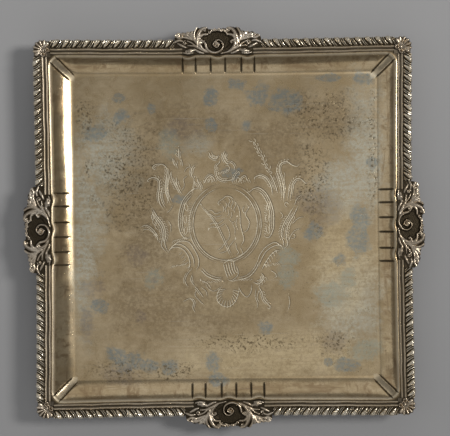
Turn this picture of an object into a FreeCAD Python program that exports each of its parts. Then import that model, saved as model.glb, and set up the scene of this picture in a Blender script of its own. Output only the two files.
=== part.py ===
# Square silver salver on four cast feet, about 300 mm across its gadrooned border.
#
# A dished sheet-silver plate has a flat rim flange. Soldered on that flange are eight cast
# gadroon runs, eight drawn reeded wires, four scrollwork cartouches at the middles of the
# sides and four shell corners. Four cast scroll feet are soldered under the floor.
#
# Frame: +Z up, origin on the table under the centre of the plate, front towards -Y.
# All sizes are in millimetres.

import FreeCAD, Part
import math
import os

# ---- driving dimensions -------------------------------------------------------------------

SIDE = 300.0            # over the gadroons, measured at the corners
INCURVE = 1.3           # how far each side bows in at its middle
FOOT_HEIGHT = 16.0      # table to the underside of the plate
SHEET = 0.9             # thickness of the sheet silver
WELL_DEPTH = 9.5        # lip to floor
FLOOR_HALF = 121.5      # centre to the edge of the flat floor
GADROON_WIDTH = 7.0
REED_WIDTH = 5.2
LIP_INSET = 12.8        # outer edge to the lip of the well
GADROON_PITCH = 7.8     # nominal; each run divides evenly
CARTOUCHE_LENGTH = 69.0
CARTOUCHE_OVERHANG = 9.2
CORNER_SIZE = 14.5      # length of border that each corner casting takes
BORDER_CORNER = 8.0     # rounding of the border's outer corners
FLANGE_CORNER = 7.0
LIP_CORNER = 9.0
FLOOR_CORNER = 6.0
FLOOR_INCURVE = 0.5     # the floor's edge bows in less than the lip does

# Each cartouche was set by eye, a little off the middle of its side. Positive is clockwise
# seen from above.
CARTOUCHE_SHIFT = {"back": -3.5, "right": -1.0, "front": -2.5, "left": -0.5}

# ---- worked-out places --------------------------------------------------------------------

HALF = SIDE / 2
FLANGE_INSET = 1.5                          # outer edge to the edge of the flange
FLOOR_TOP = FOOT_HEIGHT + SHEET
LIP_TOP = FLOOR_TOP + WELL_DEPTH            # the castings sit on this level
LIP_HALF = HALF - LIP_INSET
SKIRT_BOTTOM = LIP_TOP - SHEET              # castings reach down over the flange's edge
CARTOUCHE_STEP = 6.5                        # how much shorter its inner side is, at each end
WIRE_START = CARTOUCHE_LENGTH / 2 - CARTOUCHE_STEP
CORNER_START = HALF - CORNER_SIZE
SEAM = 0.1                                  # solder seam between neighbouring castings
# Every side follows a circle whose centre lies outside the salver.
SIDE_RADIUS = ((HALF - BORDER_CORNER) ** 2 + INCURVE ** 2) / (2 * INCURVE)
SIDE_CENTRE = HALF - INCURVE + SIDE_RADIUS

SIDES = ["back", "right", "front", "left"]  # clockwise from above, a quarter turn apart
CORNERS = ["back_right", "front_right", "front_left", "back_left"]
UP = FreeCAD.Vector(0, 0, 1)
ORIGIN = FreeCAD.Vector(0, 0, 0)


# ---- helpers ------------------------------------------------------------------------------

def turned(shape, quarter):
    """A copy of a shape made for the back side, turned clockwise to another side."""
    copy = shape.copy()
    copy.rotate(ORIGIN, UP, -90 * quarter)
    return copy


def slid(shape, along):
    """A copy moved along the back side's curve, so that it keeps its distance from the edge."""
    copy = shape.copy()
    copy.rotate(FreeCAD.Vector(0, SIDE_CENTRE, 0), UP, math.degrees(along / SIDE_RADIUS))
    return copy


def arc(start, middle, end):
    return Part.Arc(start, middle, end).toShape()


def outline(half, sagitta, radius, z):
    """A closed wire: a square with sides that bow in by sagitta, and rounded corners."""
    near = half - radius
    diagonal = half - radius * (1 - math.sqrt(0.5))
    side = arc(FreeCAD.Vector(-near, half, z), FreeCAD.Vector(0, half - sagitta, z),
               FreeCAD.Vector(near, half, z))
    corner = arc(FreeCAD.Vector(near, half, z), FreeCAD.Vector(diagonal, diagonal, z),
                 FreeCAD.Vector(half, near, z))
    edges = [turned(edge, quarter) for quarter in range(4) for edge in (side, corner)]
    return Part.Wire(edges)


def border_point(along, inset, z=0.0):
    """A point on the back side, by its place along the edge and its distance in from it."""
    angle = along / SIDE_RADIUS
    reach = SIDE_RADIUS + inset
    return FreeCAD.Vector(reach * math.sin(angle), SIDE_CENTRE - reach * math.cos(angle), z)


def lobe(path, radii):
    """A tapered lobe: circles of the given radii, lofted along a path of points."""
    sections = []
    for index, (point, radius) in enumerate(zip(path, radii)):
        before = path[max(index - 1, 0)]
        after = path[min(index + 1, len(path) - 1)]
        direction = after - before
        sections.append(Part.Wire(Part.makeCircle(radius, point, direction)))
    return Part.makeLoft(sections, True, False)


def border_lobe(places, radii):
    """A lobe whose path is given as (along, inset, z) on the back side."""
    return lobe([border_point(*place) for place in places], radii)


def run(profile, start, end):
    """A length of border: a closed profile of (inset, z) points carried along the side's curve."""
    points = [FreeCAD.Vector(0, HALF - INCURVE - inset, z) for inset, z in profile]
    face = Part.Face(Part.makePolygon(points + points[:1]))
    centre = FreeCAD.Vector(0, SIDE_CENTRE, 0)
    face.rotate(centre, UP, math.degrees(start / SIDE_RADIUS))
    return face.revolve(centre, UP, math.degrees((end - start) / SIDE_RADIUS))


def mirrored(shape):
    return shape.mirror(ORIGIN, FreeCAD.Vector(1, 0, 0))


def save(name, shape):
    solids = shape.Solids
    if len(solids) != 1 or not shape.isValid() or solids[0].Volume <= 0:
        raise RuntimeError("%s: %d solids, valid %s" % (name, len(solids), shape.isValid()))
    solids[0].exportStep("parts/%s.step" % name)
    print("%-28s %9.1f mm3" % (name, solids[0].Volume))
    return solids[0].Volume


# ---- the sheet-silver plate ---------------------------------------------------------------

WELL_STEPS = [0.0, 0.25, 0.5, 0.7, 0.85, 0.95, 1.0]    # lip to floor
WELL_POWER = 1.35                           # how hollow the wall is
WALL_RUN = (LIP_HALF + LIP_HALF - INCURVE) / 2 - FLOOR_HALF


def well_wire(step, thickness):
    """One ring of the well's wall. Thickness 0 gives the upper surface."""
    height = WELL_DEPTH * (1 - step) ** WELL_POWER
    slope = math.atan(WELL_DEPTH * WELL_POWER / WALL_RUN * (1 - step) ** (WELL_POWER - 1))
    half = LIP_HALF + (FLOOR_HALF - LIP_HALF) * step + thickness * math.sin(slope)
    sagitta = INCURVE + (FLOOR_INCURVE - INCURVE) * step
    radius = LIP_CORNER + (FLOOR_CORNER - LIP_CORNER) * step
    return outline(half, sagitta, radius, FLOOR_TOP + height - thickness * math.cos(slope))


def make_plate():
    cavity = Part.makeLoft([well_wire(step, 0) for step in WELL_STEPS], True, True)
    dish = Part.makeLoft([well_wire(step, SHEET) for step in WELL_STEPS], True, True)
    rim = outline(HALF - FLANGE_INSET, INCURVE, FLANGE_CORNER, SKIRT_BOTTOM)
    flange = Part.Face(rim).extrude(UP * SHEET)
    return flange.fuse(dish).cut(cavity).removeSplitter()


# ---- the drawn reeded wire ----------------------------------------------------------------

REED_HEIGHT = 1.9
CHANNEL_HEIGHT = 0.7    # flange to the bottom of the channel
REED_HALF = 1.25
REED_CENTRES = (1.35, REED_WIDTH - 1.35)    # from the wire's outer face
REED_FACETS = 6


def reed_profile():
    """Two round reeds with a channel between them, as (inset, z) points."""
    outer = GADROON_WIDTH + SEAM
    points = [(outer, LIP_TOP)]
    for centre in REED_CENTRES:
        for turn in range(REED_FACETS + 1):
            angle = math.pi * turn / REED_FACETS
            rise = (REED_HEIGHT - CHANNEL_HEIGHT) * math.sin(angle)
            points.append((outer + centre - REED_HALF * math.cos(angle), LIP_TOP + CHANNEL_HEIGHT + rise))
    points.append((outer + REED_WIDTH, LIP_TOP))
    return points


# ---- the cast gadroon runs ----------------------------------------------------------------

GADROON_HEIGHT = 4.3    # flange to the top of the lobes
LOBE_SWEEP = 3.5        # how far a lobe's outer end leads its inner end, towards the cartouche


def gadroon_profile():
    """The bed that the lobes stand on, rabbeted over the flange's edge."""
    return [(FLANGE_INSET, LIP_TOP), (FLANGE_INSET, SKIRT_BOTTOM), (0.5, SKIRT_BOTTOM),
            (0.2, LIP_TOP), (0.9, LIP_TOP + 1.5), (2.6, LIP_TOP + 2.6), (4.6, LIP_TOP + 2.6),
            (6.3, LIP_TOP + 1.7), (GADROON_WIDTH, LIP_TOP + 0.9), (GADROON_WIDTH, LIP_TOP)]


# A lobe from its plump outer end to its thin inner end: share of the sweep, distance in from
# the border's edge, depth of its axis under the top of the lobes, radius.
LOBE_STATIONS = [(0.5, 0.9, 2.9, 0.9), (0.28, 2.0, 1.9, 1.7), (0.0, 3.7, 1.6, 1.6),
                 (-0.3, 5.4, 1.9, 1.1), (-0.5, 6.5, 2.5, 0.5)]


def gadroon_lobe(along):
    """One slanted lobe. Along is where its middle stands, on the half towards +X."""
    places, radii = [], []
    for share, inset, drop, radius in LOBE_STATIONS:
        places.append((along - LOBE_SWEEP * share, inset, LIP_TOP + GADROON_HEIGHT - drop))
        radii.append(radius)
    return border_lobe(places, radii)


def make_gadroons(start, end):
    """A gadroon run on the back side's +X half: a bed with its lobes in one casting."""
    count = round((end - start) / GADROON_PITCH)
    pitch = (end - start) / count
    lobes = [gadroon_lobe(start + pitch * (index + 0.5)) for index in range(count)]
    casting = run(gadroon_profile(), start, end).multiFuse(lobes)
    reach = 20.0
    keep = run([(-reach, SKIRT_BOTTOM), (-reach, LIP_TOP + reach), (reach, LIP_TOP + reach),
                (reach, SKIRT_BOTTOM)], start, end)
    return casting.common(keep)


# ---- the cast cartouches ------------------------------------------------------------------

CARTOUCHE_BASE = 2.2    # thickness of the casting's ground
VOLUTE_INSET = 4.2      # outer edge of the border to the eye of the volute
VOLUTE_RADIUS = 5.0
VOLUTE_THICKNESS = 1.2  # radius of the outer ring's own section
EYE_THICKNESS = 0.9
EYE_RADIUS = 1.5
BUD_RADIUS = 1.9
BUDS = ((25.0, 9.2), (29.5, 4.8))           # (along, inset) of the buds of the +X half
CARTOUCHE_SHOULDER = (24.0, -5.2)           # (along, inset) where the outer lobes meet
END_LOBE_MIDDLE = (31.0, -3.4)
CREST_LOBE_MIDDLE = (13.0, -8.4)


def cartouche_ground():
    """The casting's ground: stepped sides where the border meets it, and a lobed outer edge."""
    length = CARTOUCHE_LENGTH / 2 - SEAM
    inner = LIP_INSET - 0.4
    step = WIRE_START - SEAM
    right = [(length, 0.5), (length, GADROON_WIDTH), (step, GADROON_WIDTH), (step, inner)]
    crest = (0.0, -CARTOUCHE_OVERHANG)
    straight = [border_point(*place, SKIRT_BOTTOM) for place in right]
    edges = [Part.makeLine(a, b) for a, b in zip(straight, straight[1:])]
    for places in ((crest, CREST_LOBE_MIDDLE, CARTOUCHE_SHOULDER),
                   (CARTOUCHE_SHOULDER, END_LOBE_MIDDLE, right[0])):
        edges.append(arc(*(border_point(*place, SKIRT_BOTTOM) for place in places)))
    edges += [mirrored(edge) for edge in edges]
    edges.append(Part.makeLine(border_point(-step, inner, SKIRT_BOTTOM), straight[-1]))
    wire = Part.Wire(Part.__sortEdges__(edges))
    return Part.Face(wire).extrude(UP * (SHEET + CARTOUCHE_BASE))


def cartouche_leaves():
    """The acanthus leaves of the -X half, as (path, radii) pairs on the back side."""
    top = LIP_TOP + CARTOUCHE_BASE
    return [
        ([(-8.5, 9.0, top), (-14.5, 5.0, top + 0.8), (-15.0, -1.0, top + 1.2),
          (-8.0, -6.0, top + 0.6)], [0.8, 1.6, 1.8, 0.9]),
        ([(-12.0, 9.0, top), (-18.0, 3.0, top + 0.6), (-19.0, -3.0, top + 0.5),
          (-15.5, -6.3, top)], [0.7, 1.6, 1.6, 0.8]),
        ([(-14.0, 9.5, top), (-21.0, 4.0, top + 0.4), (-26.0, -1.0, top + 0.3),
          (-29.5, -2.2, top)], [0.7, 1.5, 1.6, 0.9]),
        ([(-15.0, 10.5, top), (-20.0, 8.6, top + 0.3), (-25.5, 6.0, top + 0.3),
          (-31.0, 3.4, top)], [0.6, 1.2, 1.3, 0.9]),
    ]


def make_cartouche():
    """A scrollwork casting, centred on the back side."""
    top = LIP_TOP + CARTOUCHE_BASE
    eye = border_point(0, VOLUTE_INSET, top)
    parts = [Part.makeTorus(VOLUTE_RADIUS, VOLUTE_THICKNESS, eye)]
    parts.append(Part.makeTorus(VOLUTE_RADIUS / 2, EYE_THICKNESS, eye))
    parts.append(Part.makeSphere(EYE_RADIUS, eye))
    for places, radii in cartouche_leaves():
        leaf = border_lobe(places, radii)
        parts += [leaf, mirrored(leaf)]
    for along, inset in BUDS:
        bud = Part.makeSphere(BUD_RADIUS, border_point(along, inset, top - 0.3))
        parts += [bud, mirrored(bud)]
    return cartouche_ground().multiFuse(parts)


# ---- the cast shell corners ---------------------------------------------------------------

CORNER_BASE = 2.0
FAN_INSET = 9.2         # both edges to the middle of the shell's fan
FAN_LOBES = 7
FAN_SPREAD = 146.0      # degrees from the first lobe to the last
FAN_ROOT = 3.0          # where the lobes start, from the fan's middle
FAN_REACH = 7.3         # where they end in a ball
LOBE_RADIUS = 0.95
END_LOBE_RADIUS = 1.2
BALL_SHARE = 1.08       # radius of the ball at a lobe's end, over the lobe's own
BOSS_RADIUS = 1.7
SMALL_VOLUTE_TURN = 120.0                   # degrees from the diagonal
SMALL_VOLUTE_PLACE = 4.4                    # fan's middle to the middle of each small volute
SMALL_VOLUTE_RADIUS = 2.3
SMALL_VOLUTE_HEIGHT = 1.8
SMALL_EYE_RADIUS = 0.8
SMALL_EYE_DEPTH = 0.7
SINK = 0.6                                  # how deep the small volutes stand in the ground


def corner_ground():
    """A rounded plate that fills the corner between two border runs."""
    start = CORNER_START + SEAM
    edge = HALF - 0.2
    lip = LIP_HALF + 0.6
    z = SKIRT_BOTTOM
    diagonal = edge - BORDER_CORNER * (1 - math.sqrt(0.5))
    corners = [(start, lip), (start, edge), (edge - BORDER_CORNER, edge)]
    back = [FreeCAD.Vector(x, y, z) for x, y in corners]
    right = [FreeCAD.Vector(y, x, z) for x, y in reversed(corners)]
    inner = FreeCAD.Vector(LIP_HALF - 1.9, LIP_HALF - 1.9, z)
    edges = [Part.makeLine(a, b) for a, b in zip(back, back[1:])]
    edges.append(arc(back[-1], FreeCAD.Vector(diagonal, diagonal, z), right[0]))
    edges += [Part.makeLine(a, b) for a, b in zip(right, right[1:])]
    edges += [Part.makeLine(right[-1], inner), Part.makeLine(inner, back[0])]
    return Part.Face(Part.Wire(edges)).extrude(UP * (SHEET + CORNER_BASE))


def make_corner():
    """The back right corner: a shell's fan of lobes, a boss, and two small volutes."""
    middle = FreeCAD.Vector(HALF - FAN_INSET, HALF - FAN_INSET, LIP_TOP + CORNER_BASE + 0.1)
    parts = [Part.makeSphere(BOSS_RADIUS, middle)]
    for index in range(FAN_LOBES):
        angle = math.radians(45 + FAN_SPREAD * (index / (FAN_LOBES - 1) - 0.5))
        outward = FreeCAD.Vector(math.cos(angle), math.sin(angle), 0)
        size = END_LOBE_RADIUS if index in (0, FAN_LOBES - 1) else LOBE_RADIUS
        root = middle + outward * FAN_ROOT
        parts.append(Part.makeCone(size / 2, size, FAN_REACH - FAN_ROOT, root, outward))
        parts.append(Part.makeSphere(size * BALL_SHARE, middle + outward * FAN_REACH))
    for turn in (SMALL_VOLUTE_TURN, -SMALL_VOLUTE_TURN):
        angle = math.radians(45 + turn)
        outward = FreeCAD.Vector(math.cos(angle), math.sin(angle), 0)
        root = middle + outward * SMALL_VOLUTE_PLACE - UP * SINK
        disc = Part.makeCylinder(SMALL_VOLUTE_RADIUS, SMALL_VOLUTE_HEIGHT, root, UP)
        eye_bottom = root + UP * (SMALL_VOLUTE_HEIGHT - SMALL_EYE_DEPTH)
        eye = Part.makeCylinder(SMALL_EYE_RADIUS, SMALL_VOLUTE_HEIGHT, eye_bottom, UP)
        parts.append(disc.cut(eye))
    return corner_ground().multiFuse(parts)


# ---- the cast feet ------------------------------------------------------------------------

FOOT_CENTRE = 108.0     # from both middle lines to the centre of a foot's solder plate
SOLE_REACH = 5.0        # how far out along the diagonal the sole stands from that centre
SOLE_RADIUS = 4.6
SOLE_THICKNESS = 1.8
SOLDER_PLATE_RADIUS = 8.0
SOLDER_PLATE_THICKNESS = 1.6
# The leg from its knee under the plate to the toe: reach along the diagonal, height, radius.
LEG_STATIONS = [(0.0, FOOT_HEIGHT - SOLDER_PLATE_THICKNESS / 2, 5.2), (2.6, 12.0, 4.6),
                (3.0, 8.2, 3.2), (3.6, 4.8, 2.5), (SOLE_REACH, 1.4, 3.4)]


def make_foot():
    """The back right foot: a solder plate, a knee, a slim ankle and a flat-soled toe."""
    out = FreeCAD.Vector(math.sqrt(0.5), math.sqrt(0.5), 0)
    centre = FreeCAD.Vector(FOOT_CENTRE, FOOT_CENTRE, 0)
    plate_bottom = centre + UP * (FOOT_HEIGHT - SOLDER_PLATE_THICKNESS)
    plate = Part.makeCylinder(SOLDER_PLATE_RADIUS, SOLDER_PLATE_THICKNESS, plate_bottom, UP)
    sections = []
    for reach, z, radius in LEG_STATIONS:
        sections.append(Part.Wire(Part.makeCircle(radius, centre + out * reach + UP * z, UP)))
    leg = Part.makeLoft(sections, True, False)
    toe = Part.makeCylinder(SOLE_RADIUS, SOLE_THICKNESS, centre + out * SOLE_REACH, UP)
    return plate.fuse(leg).fuse(toe).removeSplitter()


# ---- the assembly -------------------------------------------------------------------------

def main():
    os.makedirs("parts", exist_ok=True)
    plate = make_plate()
    volume = save("salver_plate", plate)
    cartouche = make_cartouche()
    corner = make_corner().cut(plate)
    foot = make_foot()
    for quarter, side in enumerate(SIDES):
        shift = CARTOUCHE_SHIFT[side]
        placed = turned(slid(cartouche, shift), quarter).cut(plate)
        volume += save("cartouche_" + side, placed)
        for half, sign in (("clockwise", 1), ("anticlockwise", -1)):
            gadroon_start = CARTOUCHE_LENGTH / 2 + sign * shift
            wire_start = WIRE_START + sign * shift
            gadroons = make_gadroons(gadroon_start, CORNER_START)
            wire = run(reed_profile(), wire_start, CORNER_START)
            if sign < 0:
                gadroons, wire = mirrored(gadroons), mirrored(wire)
            volume += save("gadroons_%s_%s" % (side, half), turned(gadroons, quarter))
            volume += save("reeded_wire_%s_%s" % (side, half), turned(wire, quarter))
        volume += save("corner_shell_" + CORNERS[quarter], turned(corner, quarter))
        volume += save("foot_" + CORNERS[quarter], turned(foot, quarter))
    print("all %.1f mm3" % volume)


main()
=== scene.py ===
# Looks for the square silver salver. Every CAD node is replaced by a finer mesh of the same
# size and place. Shapes are worked out in millimetres and scaled to metres as meshes are made.

import math

import bmesh
import bpy
import numpy as np
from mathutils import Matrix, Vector, geometry, kdtree


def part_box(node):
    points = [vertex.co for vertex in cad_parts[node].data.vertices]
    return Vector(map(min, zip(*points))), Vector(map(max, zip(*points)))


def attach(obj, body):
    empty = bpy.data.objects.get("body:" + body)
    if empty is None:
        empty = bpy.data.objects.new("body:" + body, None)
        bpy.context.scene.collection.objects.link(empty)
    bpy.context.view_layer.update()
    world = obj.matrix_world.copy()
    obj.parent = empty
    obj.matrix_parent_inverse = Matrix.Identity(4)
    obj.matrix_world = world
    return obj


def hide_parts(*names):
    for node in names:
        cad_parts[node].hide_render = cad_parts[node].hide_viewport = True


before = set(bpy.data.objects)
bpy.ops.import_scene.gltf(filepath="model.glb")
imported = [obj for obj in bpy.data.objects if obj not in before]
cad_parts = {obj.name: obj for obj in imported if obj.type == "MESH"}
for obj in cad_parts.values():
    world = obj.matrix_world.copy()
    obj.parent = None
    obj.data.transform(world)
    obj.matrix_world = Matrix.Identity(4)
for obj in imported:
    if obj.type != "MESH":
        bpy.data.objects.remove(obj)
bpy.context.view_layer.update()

MM = 0.001

# ---- sizes --------------------------------------------------------------------------------


def box_mm(node):
    """The lowest and highest corner of a CAD node's box."""
    low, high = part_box(node)
    return np.array(low) / MM, np.array(high) / MM


plate_low, plate_high = box_mm("salver_plate")
SHEET = 0.9
FLANGE_INSET = 1.5                          # outer edge of the border to the edge of the flange
HALF = plate_high[0] + FLANGE_INSET
FOOT_HEIGHT = plate_low[2]
LIP_TOP = plate_high[2]
FLOOR_TOP = FOOT_HEIGHT + SHEET
WELL_DEPTH = LIP_TOP - FLOOR_TOP
INCURVE = 1.3                               # how far each side bows in at its middle
FLOOR_INCURVE = 0.5                         # the floor's edge bows in less than the lip does
BORDER_CORNER = 8.0                         # corner radii, from the outer edge in to the floor
FLANGE_CORNER = 7.0
LIP_CORNER = 9.0
FLOOR_CORNER = 6.0
LIP_INSET = 12.8
LIP_HALF = HALF - LIP_INSET
FLOOR_HALF = 121.5
FLOOR_SHIFT = np.array([1.5, 1.2])          # the hand-raised floor is a little off centre
GADROON_WIDTH = 7.0
GADROON_PITCH = 7.8
CASTING_SEAT = LIP_TOP + 0.02               # the castings and wires stand on the flange
CASTING_BOTTOM = LIP_TOP - SHEET + 0.15     # their skirt ends a little over its underside
CARTOUCHE_HALF = 34.5
WIRE_START = 28.0
CORNER_SIZE = 14.5
CORNER_START = HALF - CORNER_SIZE

SIDES = ["back", "right", "front", "left"]  # clockwise from above, a quarter turn apart
CORNERS = ["back_right", "front_right", "front_left", "back_left"]


def cartouche_shift(quarter):
    """How far that side's cartouche sits clockwise of the middle of its side."""
    low, high = box_mm("cartouche_" + SIDES[quarter])
    centre = (low + high) / 2
    return turned(centre[None, :2], -quarter)[0, 0]


# ---- shared geometry ----------------------------------------------------------------------


def turned(points, quarters):
    """Points of the back side, turned clockwise to another side."""
    points = np.array(points, float)
    for _ in range(quarters % 4):
        x, y = points[:, 0].copy(), points[:, 1].copy()
        points[:, 0], points[:, 1] = y, -x
    return points


def side_edge(along):
    """Y of the back side's outer edge."""
    reach = HALF - BORDER_CORNER
    return HALF - INCURVE * (1 - np.minimum(np.abs(along) / reach, 1) ** 2)


def ring(half, bow, radius, per_side=36, per_corner=8):
    """Points round a square with bowed sides and rounded corners."""
    near = half - radius
    along = np.linspace(-near, near, per_side, endpoint=False)
    side = np.column_stack([along, half - bow * (1 - (along / near) ** 2)])
    angle = np.linspace(math.pi / 2, 0, per_corner, endpoint=False)
    corner = near + radius * np.column_stack([np.cos(angle), np.sin(angle)])
    quarter = np.vstack([side, corner])
    return np.vstack([turned(quarter, k) for k in range(4)])


def square_distance(x, y, half, bow, radius):
    """Signed distance to such a square, negative inside it."""
    near = half - radius
    ax, ay = np.abs(x), np.abs(y)
    qx = ax - (near - bow * (1 - np.minimum(ay / near, 1) ** 2))
    qy = ay - (near - bow * (1 - np.minimum(ax / near, 1) ** 2))
    outside = np.hypot(np.maximum(qx, 0), np.maximum(qy, 0))
    return outside + np.minimum(np.maximum(qx, qy), 0) - radius


def spline(points, step=0.7):
    """A smooth curve through a few points, as a polyline (Catmull-Rom)."""
    points = np.array(points, float)
    if len(points) < 3:
        count = max(2, int(np.linalg.norm(points[1] - points[0]) / step) + 1)
        return np.linspace(points[0], points[1], count)
    ends = np.vstack([2 * points[0] - points[1], points, 2 * points[-1] - points[-2]])
    pieces = []
    for a, b, c, d in zip(ends, ends[1:], ends[2:], ends[3:]):
        count = max(2, int(np.linalg.norm(c - b) / step) + 1)
        t = np.linspace(0, 1, count, endpoint=False)[:, None]
        pieces.append(0.5 * (2 * b + (c - a) * t + (2 * a - 5 * b + 4 * c - d) * t ** 2
                             + (3 * b - a - 3 * c + d) * t ** 3))
    return np.vstack(pieces + [points[-1:]])


def share(path):
    """How far along a polyline each of its points is, from 0 to 1."""
    steps = np.linalg.norm(np.diff(path, axis=0), axis=1)
    lengths = np.concatenate([[0], np.cumsum(steps)])
    return lengths / lengths[-1]


def beside(path, distance):
    """The polyline that runs at a distance to the left of another."""
    along = np.gradient(path, axis=0)
    along /= np.linalg.norm(along, axis=1)[:, None] + 1e-9
    distance = np.broadcast_to(distance, len(path))[:, None]
    return path + np.column_stack([-along[:, 1], along[:, 0]]) * distance


def paint(mesh, name, values):
    """Stores a value at each point of a mesh, for its material to read."""
    layer = mesh.attributes.new(name, "FLOAT", "POINT")
    layer.data.foreach_set("value", np.asarray(values, np.float32))


def add_piece(name, points, faces, material, slot, recess, sharp=38):
    """A mesh object that stands for the CAD node of the same name."""
    mesh = bpy.data.meshes.new(name)
    mesh.from_pydata((np.asarray(points) * MM).tolist(), [], faces)
    paint(mesh, "recess", recess)
    work = bmesh.new()
    work.from_mesh(mesh)
    bmesh.ops.recalc_face_normals(work, faces=work.faces)
    work.to_mesh(mesh)
    work.free()
    mesh.shade_smooth()
    mesh.set_sharp_from_angle(angle=math.radians(sharp))
    mesh.materials.append(material)
    piece = bpy.data.objects.new(name + "_silver", mesh)
    bpy.context.scene.collection.objects.link(piece)
    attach(piece, "root")
    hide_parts(name)
    return piece


def search_tree(points):
    """A tree that finds the nearest of some flat points."""
    tree = kdtree.KDTree(len(points))
    for k, (x, y) in enumerate(points):
        tree.insert((x, y, 0), k)
    tree.balance()
    return tree


def inside(points, outline):
    """True for the points that lie inside a closed outline."""
    x, y = points[:, 0], points[:, 1]
    odd = np.zeros(len(points), bool)
    for (ax, ay), (bx, by) in zip(outline, np.roll(outline, -1, axis=0)):
        if ay != by:
            crosses = (ay > y) != (by > y)
            odd ^= crosses & (x < (bx - ax) * (y - ay) / (by - ay) + ax)
    return odd


def triangulate(points, edges, outline):
    """Delaunay triangles over the points and edges, kept where they lie inside the outline."""
    vectors = [Vector((float(x), float(y))) for x, y in points]
    result = geometry.delaunay_2d_cdt(vectors, edges, [], 0, 1e-5, False)
    flat = np.array([tuple(v) for v in result[0]])
    faces = np.array([list(face) for face in result[2]])
    faces = faces[inside(flat[faces].mean(axis=1), outline)]
    return flat, faces.tolist()


def line_edges(start, count, closed=True):
    """Edges between neighbouring points of a line, and back to its first where it is closed."""
    edges = [(k, k + 1) for k in range(start, start + count - 1)]
    return edges + [(start + count - 1, start)] if closed else edges


def band(outer, inner):
    """Quads that join two closed rows of points, given by their numbers."""
    corners = zip(outer, outer[1:] + outer[:1], inner[1:] + inner[:1], inner)
    return [list(quad) for quad in corners]


def tube(rows, count):
    """Faces that join closed rows of points one after another, with a cap at each end."""
    levels = [list(range(row * count, (row + 1) * count)) for row in range(rows)]
    faces = [quad for outer, inner in zip(levels, levels[1:]) for quad in band(outer, inner)]
    return faces + [levels[0], levels[-1][::-1]]


def walled(points, faces, heights, recess, bottom):
    """Closes a relief: its top triangles, a wall down from its outline, and a flat back."""
    sides = [side for face in faces for side in zip(face, face[1:] + face[:1])]
    shared = set(sides)
    following = {a: b for a, b in sides if (b, a) not in shared}
    rim = sorted(following)
    lower = {point: len(points) + k for k, point in enumerate(rim)}
    wall = [[b, a, lower[a], lower[b]] for a, b in following.items()]
    back, here = [lower[rim[0]]], following[rim[0]]
    while here != rim[0]:
        back.append(lower[here])
        here = following[here]
    top = np.column_stack([points, heights])
    floor = np.column_stack([points[rim], np.full(len(rim), bottom)])
    shade = np.concatenate([recess, np.full(len(rim), 0.6)])
    return np.vstack([top, floor]), faces + wall + [back[::-1]], shade


# ---- materials ----------------------------------------------------------------------------


class Nodes:
    """A short way to write a material's node tree."""

    def __init__(self, name):
        self.material = bpy.data.materials.new(name)
        self.material.use_nodes = True
        self.tree = self.material.node_tree
        self.shader = self.tree.nodes["Principled BSDF"]

    def add(self, kind, inputs=(), **settings):
        node = self.tree.nodes.new(kind)
        for key, value in settings.items():
            setattr(node, key, value)
        for key, value in dict(inputs).items():
            self.set(node.inputs[key], value)
        return node

    def set(self, socket, value):
        if isinstance(value, bpy.types.NodeSocket):
            self.tree.links.new(value, socket)
        else:
            socket.default_value = value

    def math(self, operation, a, b):
        return self.add("ShaderNodeMath", {0: a, 1: b}, operation=operation).outputs[0]

    def plus(self, a, b):
        return self.math("ADD", a, b)

    def minus(self, a, b):
        return self.math("SUBTRACT", a, b)

    def times(self, a, b):
        return self.math("MULTIPLY", a, b)

    def most(self, values):
        """The highest of several values."""
        top = values[0]
        for value in values[1:]:
            top = self.math("MAXIMUM", top, value)
        return top

    def vector(self, operation, inputs):
        return self.add("ShaderNodeVectorMath", inputs, operation=operation).outputs

    def attribute(self, name):
        return self.add("ShaderNodeAttribute", attribute_name=name).outputs["Fac"]

    def spread(self, value, low, high, to_low=0.0, to_high=1.0):
        """Maps low..high to to_low..to_high, clamped and smoothed at both ends."""
        node = self.add("ShaderNodeMapRange", {0: value, 1: low, 2: high, 3: to_low, 4: to_high},
                        interpolation_type="SMOOTHSTEP")
        return node.outputs[0]

    def noise(self, vector, scale, detail=4.0, roughness=0.55, distortion=0.0):
        node = self.add("ShaderNodeTexNoise", {"Vector": vector, "Scale": scale, "Detail": detail,
                                               "Roughness": roughness, "Distortion": distortion})
        return node.outputs[0]

    def mix(self, factor, a, b):
        node = self.add("ShaderNodeMix", data_type="RGBA")
        self.set(node.inputs[0], factor)
        self.set(node.inputs[6], a if isinstance(a, bpy.types.NodeSocket) else (*a, 1))
        self.set(node.inputs[7], b if isinstance(b, bpy.types.NodeSocket) else (*b, 1))
        return node.outputs[2]

    def stretched(self, vector, angle, scale):
        """Coordinates turned about Z and scaled, for marks that run one way."""
        node = self.add("ShaderNodeMapping", {"Vector": vector, "Rotation": (0, 0, angle),
                                              "Scale": scale})
        return node.outputs[0]


DIRT = (0.045, 0.035, 0.022)
WALL_STREAK = (0.26, 0.18, 0.10)
SCRATCH = (0.85, 0.8, 0.7)
CUT_AND_PAINTED_GLINT = (0.90, 0.83, 0.66)                    # lighter metal in the engraving's cuts and where the lip is rubbed; in the cuts partly a painted highlight for the glint on a cut's lit flank
PAINTED_CUT_SHADE = (0.17, 0.13, 0.08)             # painted shade beside each cut, on its side towards the key light, standing for the shade of the cut's flank there
STAIN_EDGE = 2.75                           # about 1, plus the wobble's mean


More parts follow.
